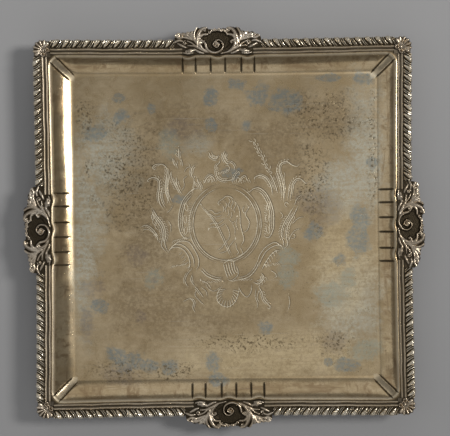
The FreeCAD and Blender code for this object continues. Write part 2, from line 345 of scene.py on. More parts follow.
def silver(name, bright, warm, roughness, scratches, is_sheet=False):
    """Old silver: bright where it is rubbed, warm where it is tarnished, dark in the recesses."""
    n = Nodes(name)
    place = n.add("ShaderNodeTexCoord").outputs["Object"]
    mm = n.vector("SCALE", {0: place, 3: 1 / MM})[0]
    patches = n.noise(mm, 0.022, 3.0)
    blotches = n.noise(mm, 0.11, 6.0, 0.62, 0.6)
    grain = n.noise(mm, 1.3, 5.0, 0.7)

    tarnish = n.spread(n.plus(n.times(patches, 0.8), n.times(blotches, 0.7)), 0.5, 1.0)
    colour = n.mix(tarnish, bright, warm)
    colour = n.mix(n.spread(grain, 0.35, 0.75, 0.0, 0.4), colour, tuple(c * 0.55 for c in warm))
    rough = n.plus(n.times(blotches, 0.22), n.times(grain, 0.1))
    rough = n.plus(rough, roughness - 0.16)
    pits = n.times(n.spread(n.noise(mm, 0.75, 2.0, 0.5), 0.66, 0.74),
                   n.spread(patches, 0.48, 0.62, 0.0, 0.7))
    if is_sheet:
        colour, pits = stained(n, mm, colour, pits)
    colour = n.mix(pits, colour, tuple(c * 0.3 for c in warm))
    if is_sheet:
        colour, rough = worked(n, mm, colour, rough, warm)
    depth = n.spread(n.plus(n.attribute("recess"), n.times(grain, 0.24)), 0.3, 1.12)
    colour = n.mix(depth, colour, DIRT)
    rough = n.plus(rough, n.times(depth, 0.25))

    fine = hairlines(n, mm)
    colour = n.mix(n.times(fine, 0.35 * scratches), colour, SCRATCH)
    relief = n.minus(n.times(grain, 0.1 + 0.5 * scratches), n.times(fine, scratches))
    bump = n.add("ShaderNodeBump", {"Height": n.minus(relief, pits), "Strength": 0.35,
                                    "Distance": 0.06 * MM})
    n.set(n.shader.inputs["Base Color"], colour)
    n.set(n.shader.inputs["Metallic"], 1.0)
    n.set(n.shader.inputs["Roughness"], rough)
    n.set(n.shader.inputs["Normal"], bump.outputs[0])
    return n.material


def hairlines(n, mm):
    """Fine scratches that run four ways."""
    lines = []
    for angle, level in ((0.4, 0.72), (1.9, 0.73), (2.7, 0.74), (1.1, 0.74)):
        line = n.noise(n.stretched(mm, angle, (0.012, 1.1, 1.0)), 1.0, 2.0, 0.4)
        lines.append(n.spread(line, level, level + 0.03))
    return n.most(lines)


def inside_ovals(n, mm, places, soft, wobble):
    """1 inside any of some ragged ovals on the floor, and 0 away from them."""
    ovals = []
    for x, y, rx, ry in places:
        local = n.vector("SUBTRACT", {0: mm, 1: (x, y, FLOOR_TOP)})[0]
        local = n.vector("MULTIPLY", {0: local, 1: (1 / rx, 1 / ry, 0.05)})[0]
        away = n.plus(n.vector("LENGTH", {0: local})["Value"], wobble)
        ovals.append(n.spread(away, STAIN_EDGE + soft, STAIN_EDGE - soft))
    return n.most(ovals)


def stained(n, mm, colour, pits):
    """The colour under the floor's stains, and the pits with more where the floor is pitted."""
    wobble = n.plus(n.times(n.noise(mm, 0.07, 5.0, 0.62, 0.4), 2.4),
                    n.times(n.noise(mm, 0.34, 4.0, 0.6, 0.5), 1.1))
    speckle = n.spread(n.noise(mm, 0.4, 4.0, 0.65, 0.4), 0.34, 0.6, 0.3, 1.0)
    for tint, strength, soft, places in STAINS:
        stain = n.times(inside_ovals(n, mm, places, soft, wobble), speckle)
        colour = n.mix(n.times(stain, strength), colour, tint)
    dots = n.spread(n.noise(mm, 0.55, 3.0, 0.65, 0.3), 0.52, 0.63, 0.0, 0.95)
    pitted = n.times(inside_ovals(n, mm, PITTED, 0.6, wobble), dots)
    return colour, n.most([pits, pitted])


def worked(n, mm, colour, rough, warm):
    """Colour and roughness with the brushed grain, the wall's streaks, the engraving and wear. The
    cuts are lighter, partly as a painted highlight, with painted shade beside them.
    """
    wall = n.spread(n.add("ShaderNodeSeparateXYZ", {0: mm}).outputs["Z"],
                    FLOOR_TOP + 0.2, FLOOR_TOP + 2.5)
    lines = n.most([n.noise(n.stretched(mm, 0, (0.02, 0.16, 0.16)), 1.0, 6.0, 0.7, 0.6),
                    n.noise(n.stretched(mm, 0, (0.16, 0.02, 0.16)), 1.0, 6.0, 0.7, 0.6)])
    brushed = n.noise(n.stretched(mm, 0, (0.03, 0.45, 0.45)), 1.0, 5.0, 0.65, 0.4)
    cut = n.attribute("cut")
    colour = n.mix(n.spread(brushed, 0.45, 0.7, 0.0, 0.45), colour, warm)
    colour = n.mix(n.times(wall, n.spread(lines, 0.48, 0.64, 0.05, 0.85)), colour, WALL_STREAK)
    # lighter cuts: partly their own bright metal, partly a painted highlight for their glint
    colour = n.mix(n.spread(cut, 0.05, 0.5, 0.0, 0.85), colour, CUT_AND_PAINTED_GLINT)
    # painted shade beside one side of each cut
    colour = n.mix(n.times(n.attribute("burr_and_painted_shade"), 0.95), colour, PAINTED_CUT_SHADE)
    rough = n.minus(rough, n.times(wall, 0.11))
    rough = n.plus(rough, n.times(n.attribute("dull"), 0.24))
    return colour, n.plus(rough, n.times(cut, 0.4))


# Tarnish on the floor: tint, strength, softness of the edge, and places as x, y and two radii.
STAINS = [
    ((0.56, 0.56, 0.47), 0.7, 0.6,
     [(-93, 57, 24, 30), (-108, 10, 12, 36), (112, 60, 13, 52), (96, 30, 22, 20),
      (100, -60, 22, 30), (-112, -20, 9, 50), (-20, 68, 10, 8)]),
    ((0.72, 0.58, 0.35), 0.6, 0.6, [(45, -102, 75, 17), (0, -60, 30, 10), (95, -30, 22, 40)]),
    ((0.24, 0.175, 0.10), 0.72, 0.6,
     [(-62, 10, 22, 60), (-30, 82, 40, 16), (-20, -62, 60, 22), (40, 62, 30, 26), (78, 88, 26, 16),
      (-60, -60, 30, 34)]),
    ((0.22, 0.26, 0.26), 0.75, 0.28,
     [(-102, 76, 8, 6), (-82, 104, 5, 4), (-81, 90, 6, 6), (-57, 95, 3, 4), (-10, 103, 5, 8),
      (-10, 82, 5, 5), (13, 114, 7, 4), (27, 105, 9, 8), (48, 100, 12, 9), (18, 81, 4, 4),
      (85, 118, 9, 3), (113, 117, 9, 5), (118, 50, 4, 5), (108, 6, 7, 13), (107, -9, 9, 12),
      (70, -4, 6, 8), (93, -27, 5, 6), (-35, 23, 6, 3), (6, 43, 8, 5), (-100, -62, 6, 6),
      (-87, -101, 8, 6), (-60, -110, 8, 5), (-45, -110, 7, 6), (-10, -106, 6, 8),
      (-8, -121, 8, 5), (31, -80, 6, 5), (98, -111, 9, 5), (82, -108, 3, 3), (-78, -108, 12, 8)]),
    ((0.33, 0.36, 0.30), 0.6, 0.3,
     [(85, -55, 12, 9), (98, -41, 7, 8), (-56, -41, 7.5, 7.5), (111, -99, 12, 8), (50, -26, 9, 9),
      (50, -40, 7, 8), (-43, 67, 8, 10)]),
    ((0.20, 0.16, 0.14), 0.45, 0.35,
     [(-105, -48, 10, 8), (77, 16, 16, 14), (-69, -22, 7, 7), (-67, -71, 4, 5), (-31, 80, 12, 8),
      (-56, -42, 3, 3), (-110, -76, 5, 11), (86, -92, 10, 8), (-84, -117, 16, 8)]),
]
# Where the floor is pitted, as x, y and two radii.
PITTED = [(84, 88, 26, 20), (-84, -114, 20, 9), (-45, -115, 20, 7), (86, -92, 16, 9),
          (119, 60, 4, 50), (-108, 48, 4, 10), (70, 40, 12, 36), (-75, 40, 24, 40),
          (-110, 90, 8, 14), (20, -92, 40, 7)]

sheet_silver = silver("sheet_silver", (0.56, 0.45, 0.29), (0.40, 0.30, 0.17), 0.25, 0.5, True)
relief_silver = silver("relief_silver", (0.78, 0.69, 0.57), (0.47, 0.38, 0.27), 0.27, 0.0)
cast_silver = silver("cast_silver", (0.97, 0.90, 0.76), (0.72, 0.62, 0.47), 0.25, 0.05)
drawn_silver = silver("drawn_silver", (0.66, 0.57, 0.44), (0.48, 0.39, 0.27), 0.46, 0.1)

# ---- the engraving ------------------------------------------------------------------------
# Each stroke is a width and the points it passes through, in millimetres from the middle of
# the plate, drawn upright as seen from the front.

OVAL = (0.9, 2.7)                           # middle of the oval that holds the arms


def oval(rx, ry, start=0.0, end=360.0, centre=OVAL):
    """An arc of an oval, clockwise in degrees from its top."""
    angles = np.radians(np.linspace(start, end, max(8, int(abs(end - start) / 3.5))))
    return np.column_stack([centre[0] + rx * np.sin(angles), centre[1] + ry * np.cos(angles)])


def cartouche_strokes():
    """The frame: an oval, two C-scrolls beside it, and scrolls under it."""
    strokes = [(0.8, oval(25.6, 28.8)), (0.5, oval(27.2, 30.3, 20, 345)),
               (0.8, oval(28.7, 31.9, 8, 172)), (0.8, oval(28.7, 31.9, 195, 352))]
    left = [(-18.3, 29.6), (-20.5, 31.2), (-24.5, 30.4), (-29.5, 26), (-33.5, 20), (-36, 10),
            (-36, 1.4), (-34, -5.3), (-30.2, -8.8), (-27.4, -7.2), (-28.4, -4.9)]
    right = [(18.3, 31.2), (20.2, 28.0), (23.5, 30.4), (28, 31.2), (33, 27.6), (37, 20.6),
             (39.4, 11.9), (39.5, 2.3), (38.4, -3.8), (35.4, -8.4), (32.2, -7.4), (33.2, -4.9)]
    for path, inward in ((left, 1), (right, -1)):
        outer = spline(path)
        strokes.append((0.85, outer))
        middle = outer[len(outer) // 8: -len(outer) // 8]
        strokes.append((0.55, beside(middle, 1.5 * inward)))
        strokes.append((0.7, beside(middle[4:-4], 3.0 * inward)))
    for y, tilt in ((16.5, 14), (7, 3), (-2, -10)):
        bead = oval(1.2, 3.2, centre=(0, 0))
        turn = math.radians(tilt)
        bead = bead @ np.array([[math.cos(turn), math.sin(turn)], [-math.sin(turn), math.cos(turn)]])
        for x in (-31.0, 34.2):
            middle = (x + abs(y - 5) * 0.09, y)
            strokes.append((0.45, bead * (1 if x < 0 else -1, 1) + middle))
    base = [(-19.2, -33.5), (-13.5, -38.8), (-6, -41.6), (-2.2, -41)]
    strokes += [(0.8, spline(base)), (0.5, spline(base) + (0.9, 1.6))]
    base = [(10.8, -41.2), (15.5, -41), (20.4, -38.6), (25, -33.4), (27.6, -27.6)]
    strokes += [(0.8, spline(base)), (0.5, spline(base) + (-0.9, 1.6))]
    return strokes


def lower_scroll_strokes():
    """The scrolls at the cartouche's foot, each of three lines that spring from a point."""
    strokes = []
    for path in ([(-44.6, -19.7), (-43, -16.6), (-37.9, -15.2), (-32.4, -17.6), (-28.6, -23.2),
                  (-27.6, -29.4), (-29.4, -34.5)],
                 [(-44, -18.2), (-40, -13.6), (-34, -13.4), (-28.4, -18), (-25, -24.2), (-24, -31)],
                 [(-43, -16), (-36, -11), (-28.5, -11.4), (-23.8, -17.6), (-20.8, -24.2),
                  (-20.6, -29.6), (-22.5, -34)],
                 [(46.7, -17.8), (44.8, -14.6), (39.8, -15.2), (33.4, -19.2), (29.2, -26),
                  (27.2, -31.5)],
                 [(46, -16.2), (40.6, -12.4), (33.8, -15.4), (28.7, -21.4), (26, -28.2)],
                 [(45.4, -18.6), (40.6, -19.4), (36.4, -23), (32.2, -29.2), (29.6, -34)]):
        strokes.append((0.75, spline(path)))
    for k in range(6):
        x, y = -41.5 + 1.9 * k, -12.2 + 0.5 * k
        strokes.append((0.4, spline([(x, y), (x + 1.2, y + 1.9), (x + 2.6, y + 2.2)])))
        x, y = 31.2 + 1.7 * k, -29.4 + 2.3 * k
        strokes.append((0.45, spline([(x, y), (x + 1.6, y - 1.0), (x + 2.0, y - 3.2)])))
        x, y = -36.5 + 1.6 * k, -21.5 - 2.6 * k
        strokes.append((0.4, spline([(x, y), (x + 1.5, y + 0.6), (x + 2.6, y + 2.4)])))
    return strokes


PLUMES = [
    # flames up the left side
    (0.8, [(-42.7, 19.5), (-45.6, 26), (-46.6, 33), (-45.4, 40.6), (-44.8, 46), (-46.6, 49.4),
           (-49.5, 50.8), (-52, 49.6)]),
    (0.6, [(-41.2, 20.5), (-43.8, 27), (-44.6, 34), (-43, 41), (-41.2, 45.6)]),
    (0.7, [(-35, 27.2), (-38.8, 33.9), (-41.4, 40.4), (-41.6, 44.8)]),
    (0.7, [(-33.2, 26.6), (-36, 31.2), (-37.5, 36), (-37.4, 40.4)]),
    (0.5, [(-34, 28.6), (-31.4, 33.4), (-31.8, 38.6), (-28.6, 41.6)]),
    (0.8, [(-24.4, 39.2), (-25.8, 43.4), (-25, 47.6), (-22.8, 50)]),
    (0.8, [(-17.8, 29.4), (-18.4, 33.2), (-20.2, 36), (-20.8, 39.4)]),
    (0.5, [(-20, 31.4), (-22.4, 34.4), (-23.6, 38.6), (-22.6, 42)]),
    (0.8, [(-35, 54.6), (-35.6, 59), (-35.2, 63.6)]),
    (0.6, [(-32.6, 49), (-33, 52.4), (-34, 55.6)]),
    (0.8, [(-38, 48.8), (-39.8, 52), (-40.2, 55.8)]),
    (0.5, [(-36.4, 47), (-37.2, 50.4), (-36.2, 53.6)]),
    (0.5, [(-31.4, 44), (-29.6, 47.4), (-26.6, 48.8), (-27.6, 51)]),
    (0.8, [(-47.9, 14.8), (-51.2, 20.4), (-52, 26.2), (-50.9, 32.8), (-51.6, 38.2), (-55.2, 40.2),
           (-58.8, 39.6), (-60.6, 37.6), (-58.6, 36.6)]),
    (0.6, [(-46.4, 15.8), (-49.2, 21), (-50, 26.6), (-48.6, 33)]),
    (0.6, [(-49.4, 51), (-54, 50.6), (-56.6, 48.4), (-54.8, 46.8), (-53.4, 48)]),
    # leaf down the left side
    (0.8, [(-57.4, 16.8), (-53.7, 10), (-48.6, 3.4), (-46.4, -4.4), (-47.4, -12), (-44.8, -19.6)]),
    (0.7, [(-58, 16), (-55.2, 8.2), (-50.5, 0.6), (-49.2, -7), (-50, -14), (-45.6, -19.8)]),
    (0.6, [(-66.6, 0.6), (-62, 2.4), (-57, -0.6), (-52.2, -7)]),
    (0.5, [(-65.6, -1.4), (-60.6, -1), (-56, -4), (-52.2, -9)]),
    (0.6, [(-57, -6.4), (-54.4, -4.6), (-52.4, -10.6)]),
    (0.6, [(-55.8, 13), (-57.8, 9), (-56, 5.6)]),
    (0.5, [(-54.6, 10.6), (-56.8, 5), (-54.2, 1.6)]),
    (0.5, [(-52.8, 7.6), (-55, 1.8), (-52, -2.2)]),
    (0.5, [(-45.6, 12), (-42.6, 14.6), (-40.6, 18.2)]),
    (0.5, [(-44.6, 5.6), (-42.4, 1.8), (-42.6, -3.6)]),
    # curls up the right side
    (0.8, [(38.6, 25.3), (37.8, 32), (33.9, 38.6), (29, 41), (25, 39.6), (24.6, 36.8)]),
    (0.7, [(42.9, 27.2), (40.8, 33.9), (38.8, 38.9), (36.4, 42.4)]),
    (0.8, [(47.7, 19.5), (48, 29), (46.2, 38.6), (44.4, 44.4), (45.4, 50), (50.2, 51.9),
           (54.6, 49.2), (58.6, 48), (60.8, 50.2)]),
    (0.6, [(46, 22), (46.2, 30), (44.2, 38), (42.4, 44), (42.8, 49)]),
    (0.7, [(52.9, 20.5), (54, 29.1), (54.8, 34), (57.8, 38), (61.6, 37.8), (65.2, 34.6),
           (67.8, 35.6)]),
    (0.5, [(51, 22), (51.8, 29), (52.4, 34.4)]),
    (0.7, [(59.6, 17.6), (55, 8.4), (51, 1.4), (49.8, -7), (50.2, -14.6), (46.8, -17.6)]),
    (0.7, [(55.6, 16), (51.6, 9.4), (47.4, 2.4), (45.4, -5.2), (47.2, -12), (46.6, -17.6)]),
    (0.5, [(61.6, -1.4), (56.4, -3), (52.4, -8.2), (51.2, -13)]),
    (0.5, [(63.6, 8), (58.6, 6.4), (54, 2)]),
    (0.5, [(53, -9.4), (55.8, -8.8), (56.4, -6.6), (54.4, -6)]),
    (0.5, [(62.4, 26), (58.4, 22.4), (56.2, 17)]),
    (0.5, [(50.4, 15.6), (48.4, 17.6), (49.6, 19.6), (51.6, 17.8)]),
    (0.5, [(44.6, 12), (47, 8.6), (44.8, 6.4)]),
    # the crest over the oval
    (0.8, [(-11.6, 60.2), (-9.8, 56.2), (-5.8, 54.6), (-3.6, 57.6)]),
    (0.5, [(-9.6, 60), (-8, 57.4), (-5.6, 56.6)]),
    (0.8, [(1.4, 61.2), (-0.4, 56.6), (1.4, 52.4), (4, 49.8)]),
    (0.6, [(2.6, 60), (1.4, 56.8), (3.2, 53.4)]),
    (0.7, [(-2.6, 55.6), (-3.2, 51.8), (-5.6, 48.8), (-5.8, 44), (-4.2, 39.4), (-0.4, 37.4),
           (5, 37.6), (9.6, 39.4)]),
    (0.6, [(2, 50.4), (5.8, 51.4), (8.6, 48.6), (8.6, 45)]),
    (0.5, [(0.8, 48.8), (3.4, 49.4), (5, 47.4), (3.6, 45.6), (1.6, 46.6)]),
    (0.7, [(-15.9, 34.8), (-13.6, 39), (-10.8, 41.4), (-8, 39.6), (-6.8, 36.4)]),
    (0.5, [(-12.4, 35.4), (-11.2, 38.4), (-9.4, 38.2), (-8.8, 35.6)]),
    (0.6, [(8, 36.6), (8.8, 40.4), (12, 44.4), (13, 42)]),
    (0.6, [(12, 35.6), (14.4, 40), (17.4, 40.8), (19, 36.2)]),
    (0.5, [(10, 36.4), (11.4, 39.8), (13.6, 37.6)]),
    # leaves at the foot, left
    (0.6, [(-27.6, -34), (-30.6, -38.6), (-31.4, -43), (-29.4, -47)]),
    (0.6, [(-25.6, -37), (-27, -41.6), (-24, -46.4)]),
    (0.6, [(-24, -46.4), (-20.4, -50.8), (-17, -55.6)]),
    (0.6, [(-28, -55.4), (-25, -59.4), (-25.6, -63.6), (-23.8, -67.6)]),
    (0.5, [(-33.4, -58.8), (-28.6, -56.6), (-24.6, -57.2)]),
    (0.5, [(-22.6, -49), (-23.6, -54), (-20, -58.4), (-16.4, -61.8)]),
    (0.5, [(-19, -47.4), (-15, -50.6), (-14, -54.8)]),
    (0.5, [(-18.6, -42), (-13.6, -44.6), (-10.8, -48.6)]),
    # leaves at the foot, right
    (0.8, [(29, -36.4), (31.4, -40.6), (27.2, -45.2), (22.6, -43.8)]),
    (0.6, [(28.2, -38.4), (28.6, -41.4), (25.4, -43)]),
    (0.7, [(26.8, -46.8), (29.8, -52.6), (30.8, -57.2), (33.8, -61), (36.8, -64)]),
    (0.5, [(36.2, -62), (35.6, -65.2), (33.4, -63.8)]),
    (0.5, [(25, -48.6), (24.2, -55), (26, -61.4), (25.4, -64.6)]),
    (0.5, [(27.4, -49.8), (25.8, -56.4), (27.4, -60)]),
    (0.5, [(36.4, -34.4), (39.8, -36.6), (41.4, -39.4), (39, -40.8)]),
    (0.5, [(50.8, -54.6), (51.6, -60), (50.4, -66)]),
]


def plume_strokes():
    """The flames, leaves and curls round the frame, each with a second line and fine veins."""
    strokes = []
    for number, (width, points) in enumerate(PLUMES):
        path = spline(points)
        strokes.append((width, path))
        side = 1 if number % 2 else -1
        count = len(path)
        if width > 0.55 and count > 10:
            strokes.append((0.45, beside(path[count // 7: -count // 5], 1.25 * side)))
        if width > 0.65 and count > 14:
            along = np.gradient(path, axis=0)
            along /= np.linalg.norm(along, axis=1)[:, None]
            for k in range(count // 4, count * 3 // 4, 3):
                out = np.array([-along[k][1], along[k][0]]) * -side
                start = path[k] + out * 0.7
                strokes.append((0.4, spline([start, start + out * 0.9 + along[k] * 0.8,
                                             start + out * 1.2 + along[k] * 2.0], 0.5)))
    return strokes + feather_strokes()


def feather_strokes():
    """The long feather at the upper right: a quill with barbs on both sides."""
    quill = spline([(38, 40.5), (35.6, 46.2), (32.8, 50.6), (31.4, 56.2), (28, 60), (26.2, 65),
                    (21.8, 70.7)], 1.0)
    strokes = [(0.55, quill)]
    for k in range(2, len(quill) - 2, 2):
        along = quill[k + 1] - quill[k - 1]
        along = along / np.linalg.norm(along)
        out = np.array([along[1], -along[0]]) * (1 if k % 4 else -0.8)
        tip = quill[k] + out * (1.9 + 1.1 * math.sin(k * 2.3)) + along * 2.4
        barb = [quill[k] + out * 0.5, quill[k] + out * 1.5 + along * 0.4, tip]
        strokes.append((0.45, spline(barb, 0.5)))
    return strokes


# Shaded ground round the frame: centre, spread across and up, angle of the lines, how many.
SHADING = [(-27.5, 8, 1.6, 11, 20, 13), (33, 6, 1.6, 11, 160, 13), (-12, 37, 6, 2, 70, 8),
           (14, 36.5, 7, 2, 110, 9), (-37, -30, 5, 4, 40, 10), (38, -30, 5, 4, 140, 10),
           (0, 44, 4, 3, 60, 8), (-9, -43, 8, 2, 150, 10), (14, -42, 7, 2, 30, 9),
           (-44, 30, 2.5, 9, 75, 9), (48, 33, 2.5, 9, 105, 9), (-24, 33, 4, 4, 110, 8)]


def shading_strokes():
    """Short fine lines side by side, with seeded lengths."""
    draw = np.random.default_rng(7)
    strokes = []
    for x, y, across, up, angle, count in SHADING:
        way = np.array([math.cos(math.radians(angle)), math.sin(math.radians(angle))])
        for part in np.linspace(-1, 1, count):
            middle = np.array([x, y]) + (part * across * (1 if across > up else 0.2),
                                         part * up * (1 if up >= across else 0.2))
            half = way * draw.uniform(0.9, 1.9)
            bow = np.array([-way[1], way[0]]) * draw.uniform(-0.4, 0.4)
            strokes.append((0.36, spline([middle - half, middle + bow, middle + half], 0.6)))
    return strokes


def shell_strokes():
    """The scallop at the foot, and the ribbed tassel that hangs under the oval."""
    rim = spline([(-1.8, -46.4), (-5.8, -52.4), (-5.6, -58.6), (-1.6, -62.4), (3.4, -63),
                  (8, -59.2), (10.8, -52.4), (11.4, -47)])
    strokes = [(0.6, rim)]
    strokes.append((0.6, spline([(10.9, -47.4), (13.6, -52.4), (17.6, -55.6), (20.8, -51.4),
                                 (21.4, -45.5)])))
    strokes.append((0.5, spline([(-2.6, -47), (-8.4, -50.6), (-13, -48.6), (-15.4, -44.6)])))
    root = np.array([3.2, -49.0])
    for point in rim[6:-6:4]:
        outward = (point - root) / np.linalg.norm(point - root)
        strokes.append((0.5, spline([point - outward * 5.0, point + outward * 1.2])))
    for k in range(5):
        x = -0.8 + 2.0 * k
        rib = [(x, -28.6 + 0.5 * k), (x + 1.2, -34), (x + 3.4, -40.4 + 0.9 * k)]
        strokes.append((0.7, spline(rib)))
    strokes.append((0.6, spline([(-1, -28.6), (3.6, -26.4), (9, -27.2)])))
    strokes.append((0.6, spline([(2, -41), (5.4, -42.4), (10.8, -37.4), (9.2, -30)])))
    return strokes


LION = [
    # head and mane, facing left
    (0.6, [(-2.6, 17.4), (-4.6, 18.6), (-4, 20.6), (-1.2, 22.4), (1.6, 24.6), (5, 24.4),
           (8.2, 22)]),
    (0.4, [(-4, 19.4), (-1.8, 19.2)]),
    (0.4, [(-0.4, 21), (0.8, 21.2)]),
    (0.5, [(3.4, 23.4), (5, 21), (3.6, 18), (4.8, 15.4)]),
    (0.5, [(6, 22.8), (7.4, 19.6), (5.8, 16.6), (6.8, 13.4)]),
    (0.5, [(8.2, 21.6), (9.6, 18), (8, 14.6), (8.6, 11.4)]),
    (0.5, [(1.4, 20.2), (2.4, 17.2), (1, 14.6), (2, 11.6)]),
    (0.5, [(-0.8, 17.8), (0, 14.6), (-1, 12)]),
    (0.4, [(3.4, 14.2), (4, 11.2), (2.6, 8.6)]),
    (0.4, [(6, 12.4), (6.2, 9.4), (4.8, 7)]),
    # body and legs
    (0.6, [(9.6, 20), (12, 14.6), (12.8, 8), (13, 2), (14.4, -4), (15.6, -10), (12.6, -15.8)]),
    (0.5, [(-2, 12.6), (-6.6, 11), (-10, 13.8), (-12.6, 12.6)]),
    (0.5, [(-1.6, 9.8), (-7, 8.4), (-10.6, 10.4), (-12.8, 10.2)]),
    (0.5, [(0, 6.4), (-5, 3.2), (-9.6, 3.4), (-12, 1.6)]),
    (0.5, [(0.8, 3.4), (-4.6, 0.2), (-9.4, 0.6), (-11.4, -0.6)]),
    (0.5, [(0.8, 3.4), (3.6, -2), (4, -8), (0.6, -12.2), (-2.4, -16.4), (-6.6, -18.4)]),
    (0.5, [(8.4, -9.6), (4.4, -14.6), (1.2, -19), (-4.6, -20.8)]),
    (0.5, [(12.6, -15.8), (14.4, -20.8), (10.4, -23.2)]),
    (0.5, [(9, -12), (9.8, -17), (11.4, -20), (9, -22.4)]),
    (0.4, [(6, 4), (8.4, -1), (8.4, -6.6)]),
    (0.4, [(3.4, 6.4), (7, 3.8), (9.4, 5.6)]),
    (0.4, [(10.4, 8), (9.6, 2.6), (11.2, -2.6)]),
    # tail
    (0.6, [(14.6, -4.6), (18.6, -2), (20, 4.4), (17, 10.4), (19.6, 15.6), (17.6, 18.4)]),
    (0.5, [(17, 10.4), (14.8, 13.4), (16, 16.8)]),
    (0.4, [(19.6, 15.6), (21.4, 17.2), (20.4, 19.6)]),
    # the staff it holds
    (0.6, [(-18.8, 17.8), (-7, 2.6), (5.2, -24)]),
    (0.5, [(-17.4, 17.4), (-5.6, 2.6), (6.4, -23.4)]),
    (0.5, [(-18.8, 17.8), (-18.6, 19), (-17.4, 17.4)]),
]


def lion_strokes():
    return [(width, spline(path, 0.6)) for width, path in LION]


# ---- the plate ----------------------------------------------------------------------------

WELL_POWER = 1.35               # how hollow the wall is
KICK = 0.22                     # how much steeper the wall leaves the floor
KICK_POWER = 5
TOE = 0.8                       # how softly the wall runs out into the floor
BEAD = 0.45                     # height of the bead round the lip
SWELLS = (-23.5, 0.0, 23.5)     # where the lip swells inwards, from a cartouche's middle
SWELL = 1.5
SWELL_SPREAD = 4.2
FLUTES = (-28.0, -17.7, -5.8, 5.7, 18.5, 28.9)      # along the side, from a cartouche's middle
FLUTE_INSETS = (14.0, 20.0, 26.2)                   # its two ends and middle, from the outer edge
CORNER_FLUTE = ((5.1, 0.7), (19.3, 15.5))           # its two ends, in from the lip's corner
FLUTE_WIDTH = 2.1
FLUTE_SLOPE = 0.6               # depth of a cut over its half width
ENGRAVED_SLOPE = 0.09
BURR_AND_SHADE_HALF = 0.38                     # half the width of the burred band beside a cut, which also carries painted shade
BURR_AND_SHADE_SIDE = (0.8, 0.6)          # the side of a cut that the burred band and its painted shade show on, towards the key light
BURR_HEIGHT = 0.02
GRID_STEP = 3.3                 # spacing of the mesh where the floor is plain
GRID_REACH = 35 * GRID_STEP     # and how far it goes from the middle
PLATE_SHARP = 9                 # angle in degrees from which the plate's edges are sharp
# Lines that the plate's mesh follows: insets from the lip, and steps from the lip to the floor.
LIP_LINES = (-0.9, -0.3, 0.1, 0.5, 0.9, 1.4, 2.0)
WELL_LINES = (0.2, 0.35, 0.5, 0.65, 0.78, 0.87, 0.92, 0.955, 0.98, 1.0, 1.03, 1.06, 1.1, 1.16)
UNDER_LINES = (0.0, 0.2, 0.4, 0.6, 0.8, 0.9, 0.96, 0.99, 1.0)


def flute_strokes():
    """The chased lines on the wall: some at each cartouche, and a pair at each corner."""
    strokes = []
    for quarter in range(4):
        shift = cartouche_shift(quarter)
        for place in FLUTES:
            along = shift + place
            ends = [(along, side_edge(along) - inset) for inset in FLUTE_INSETS]
            strokes.append((FLUTE_WIDTH, spline(turned(ends, quarter))))
        corner = LIP_HALF - np.array(CORNER_FLUTE)
        for path in (corner, corner[:, ::-1]):
            strokes.append((FLUTE_WIDTH, spline(turned(path, quarter))))
    return strokes


def well_shape(step):
    """Half the size, the bow and the corner radius of the well, from its lip to its floor."""
    half = LIP_HALF + (FLOOR_HALF - LIP_HALF) * step
    bow = INCURVE + (FLOOR_INCURVE - INCURVE) * np.minimum(step, 1)
    return half, bow, LIP_CORNER + (FLOOR_CORNER - LIP_CORNER) * step


def wall_rise(step):
    """Height over the floor as a share of the depth, and its slope, from the lip to the floor."""
    left = 1 - np.asarray(step, float)
    rise = left ** WELL_POWER + KICK * left * (1 - left) ** KICK_POWER
    slope = (WELL_POWER * left ** (WELL_POWER - 1)
             + KICK * (1 - left) ** (KICK_POWER - 1) * (1 - left - KICK_POWER * left))
    return rise, slope


def well_step(x, y):
    """0 at the lip, 1 on the floor, and in between on the wall, found by halving."""
    low, high = np.zeros(len(x)), np.ones(len(x))
    for _ in range(24):
        middle = (low + high) / 2
        away = square_distance(x - FLOOR_SHIFT[0] * middle, y - FLOOR_SHIFT[1] * middle,
                               *well_shape(middle))
        low = np.where(away < 0, middle, low)
        high = np.where(away < 0, high, middle)
    return (low + high) / 2


def lip_bulge(x, y):
    """How far the lip swells inwards under each cartouche."""
    total = np.zeros(len(x))
    for quarter in range(4):
        local = turned(np.column_stack([x, y]), -quarter)
        near = local[:, 1] > np.abs(local[:, 0])
        for place in SWELLS:
            along = local[:, 0] - cartouche_shift(quarter) - place
            total += np.where(near, SWELL * np.exp(-(along / SWELL_SPREAD) ** 2), 0)
    return total


def past_lip(x, y):
    """Signed distance to the lip, negative inside the well."""
    return square_distance(x, y, LIP_HALF, INCURVE, LIP_CORNER) + lip_bulge(x, y)


def past_floor(x, y):
    """Signed distance to the floor's edge, negative on the floor."""
    return square_distance(x - FLOOR_SHIFT[0], y - FLOOR_SHIFT[1], FLOOR_HALF, FLOOR_INCURVE,
                           FLOOR_CORNER)


def unevenness(x, y):
    """The slight waves that hammering leaves in hand-raised sheet."""
    wave = 0.10 * np.sin(x / 13.7 + 1.1) * np.sin(y / 16.1 + 0.4)
    wave += 0.06 * np.sin(x / 7.9 + y / 11.3 + 2.0) + 0.05 * np.sin(y / 8.3 - x / 17.0)
    return wave


def plate_surface(x, y):
    """Height of the plate's upper side, and how much dirt lies there."""
    away, toe = past_lip(x, y), past_floor(x, y)
    soft = (np.sqrt(toe ** 2 + TOE ** 2) - np.abs(toe)) / 2 / (LIP_HALF - FLOOR_HALF)
    z = FLOOR_TOP + WELL_DEPTH * wall_rise(np.maximum(well_step(x, y) - soft, 0))[0]
    z = np.where(away > -0.05, LIP_TOP, z)
    z += BEAD * np.exp(-((away + 0.9) / 1.1) ** 2)
    z += unevenness(x, y) * np.clip(-away / 12, 0, 1)
    dirt = np.clip(1 - np.abs(away - 0.9) / 0.7, 0, 1)
    dirt = np.maximum(dirt, 0.42 * np.exp(-np.abs(away + 2.6) / 2.0) * (away < -1.8))
    return z, np.maximum(dirt, (away > 0.7) * 0.8)


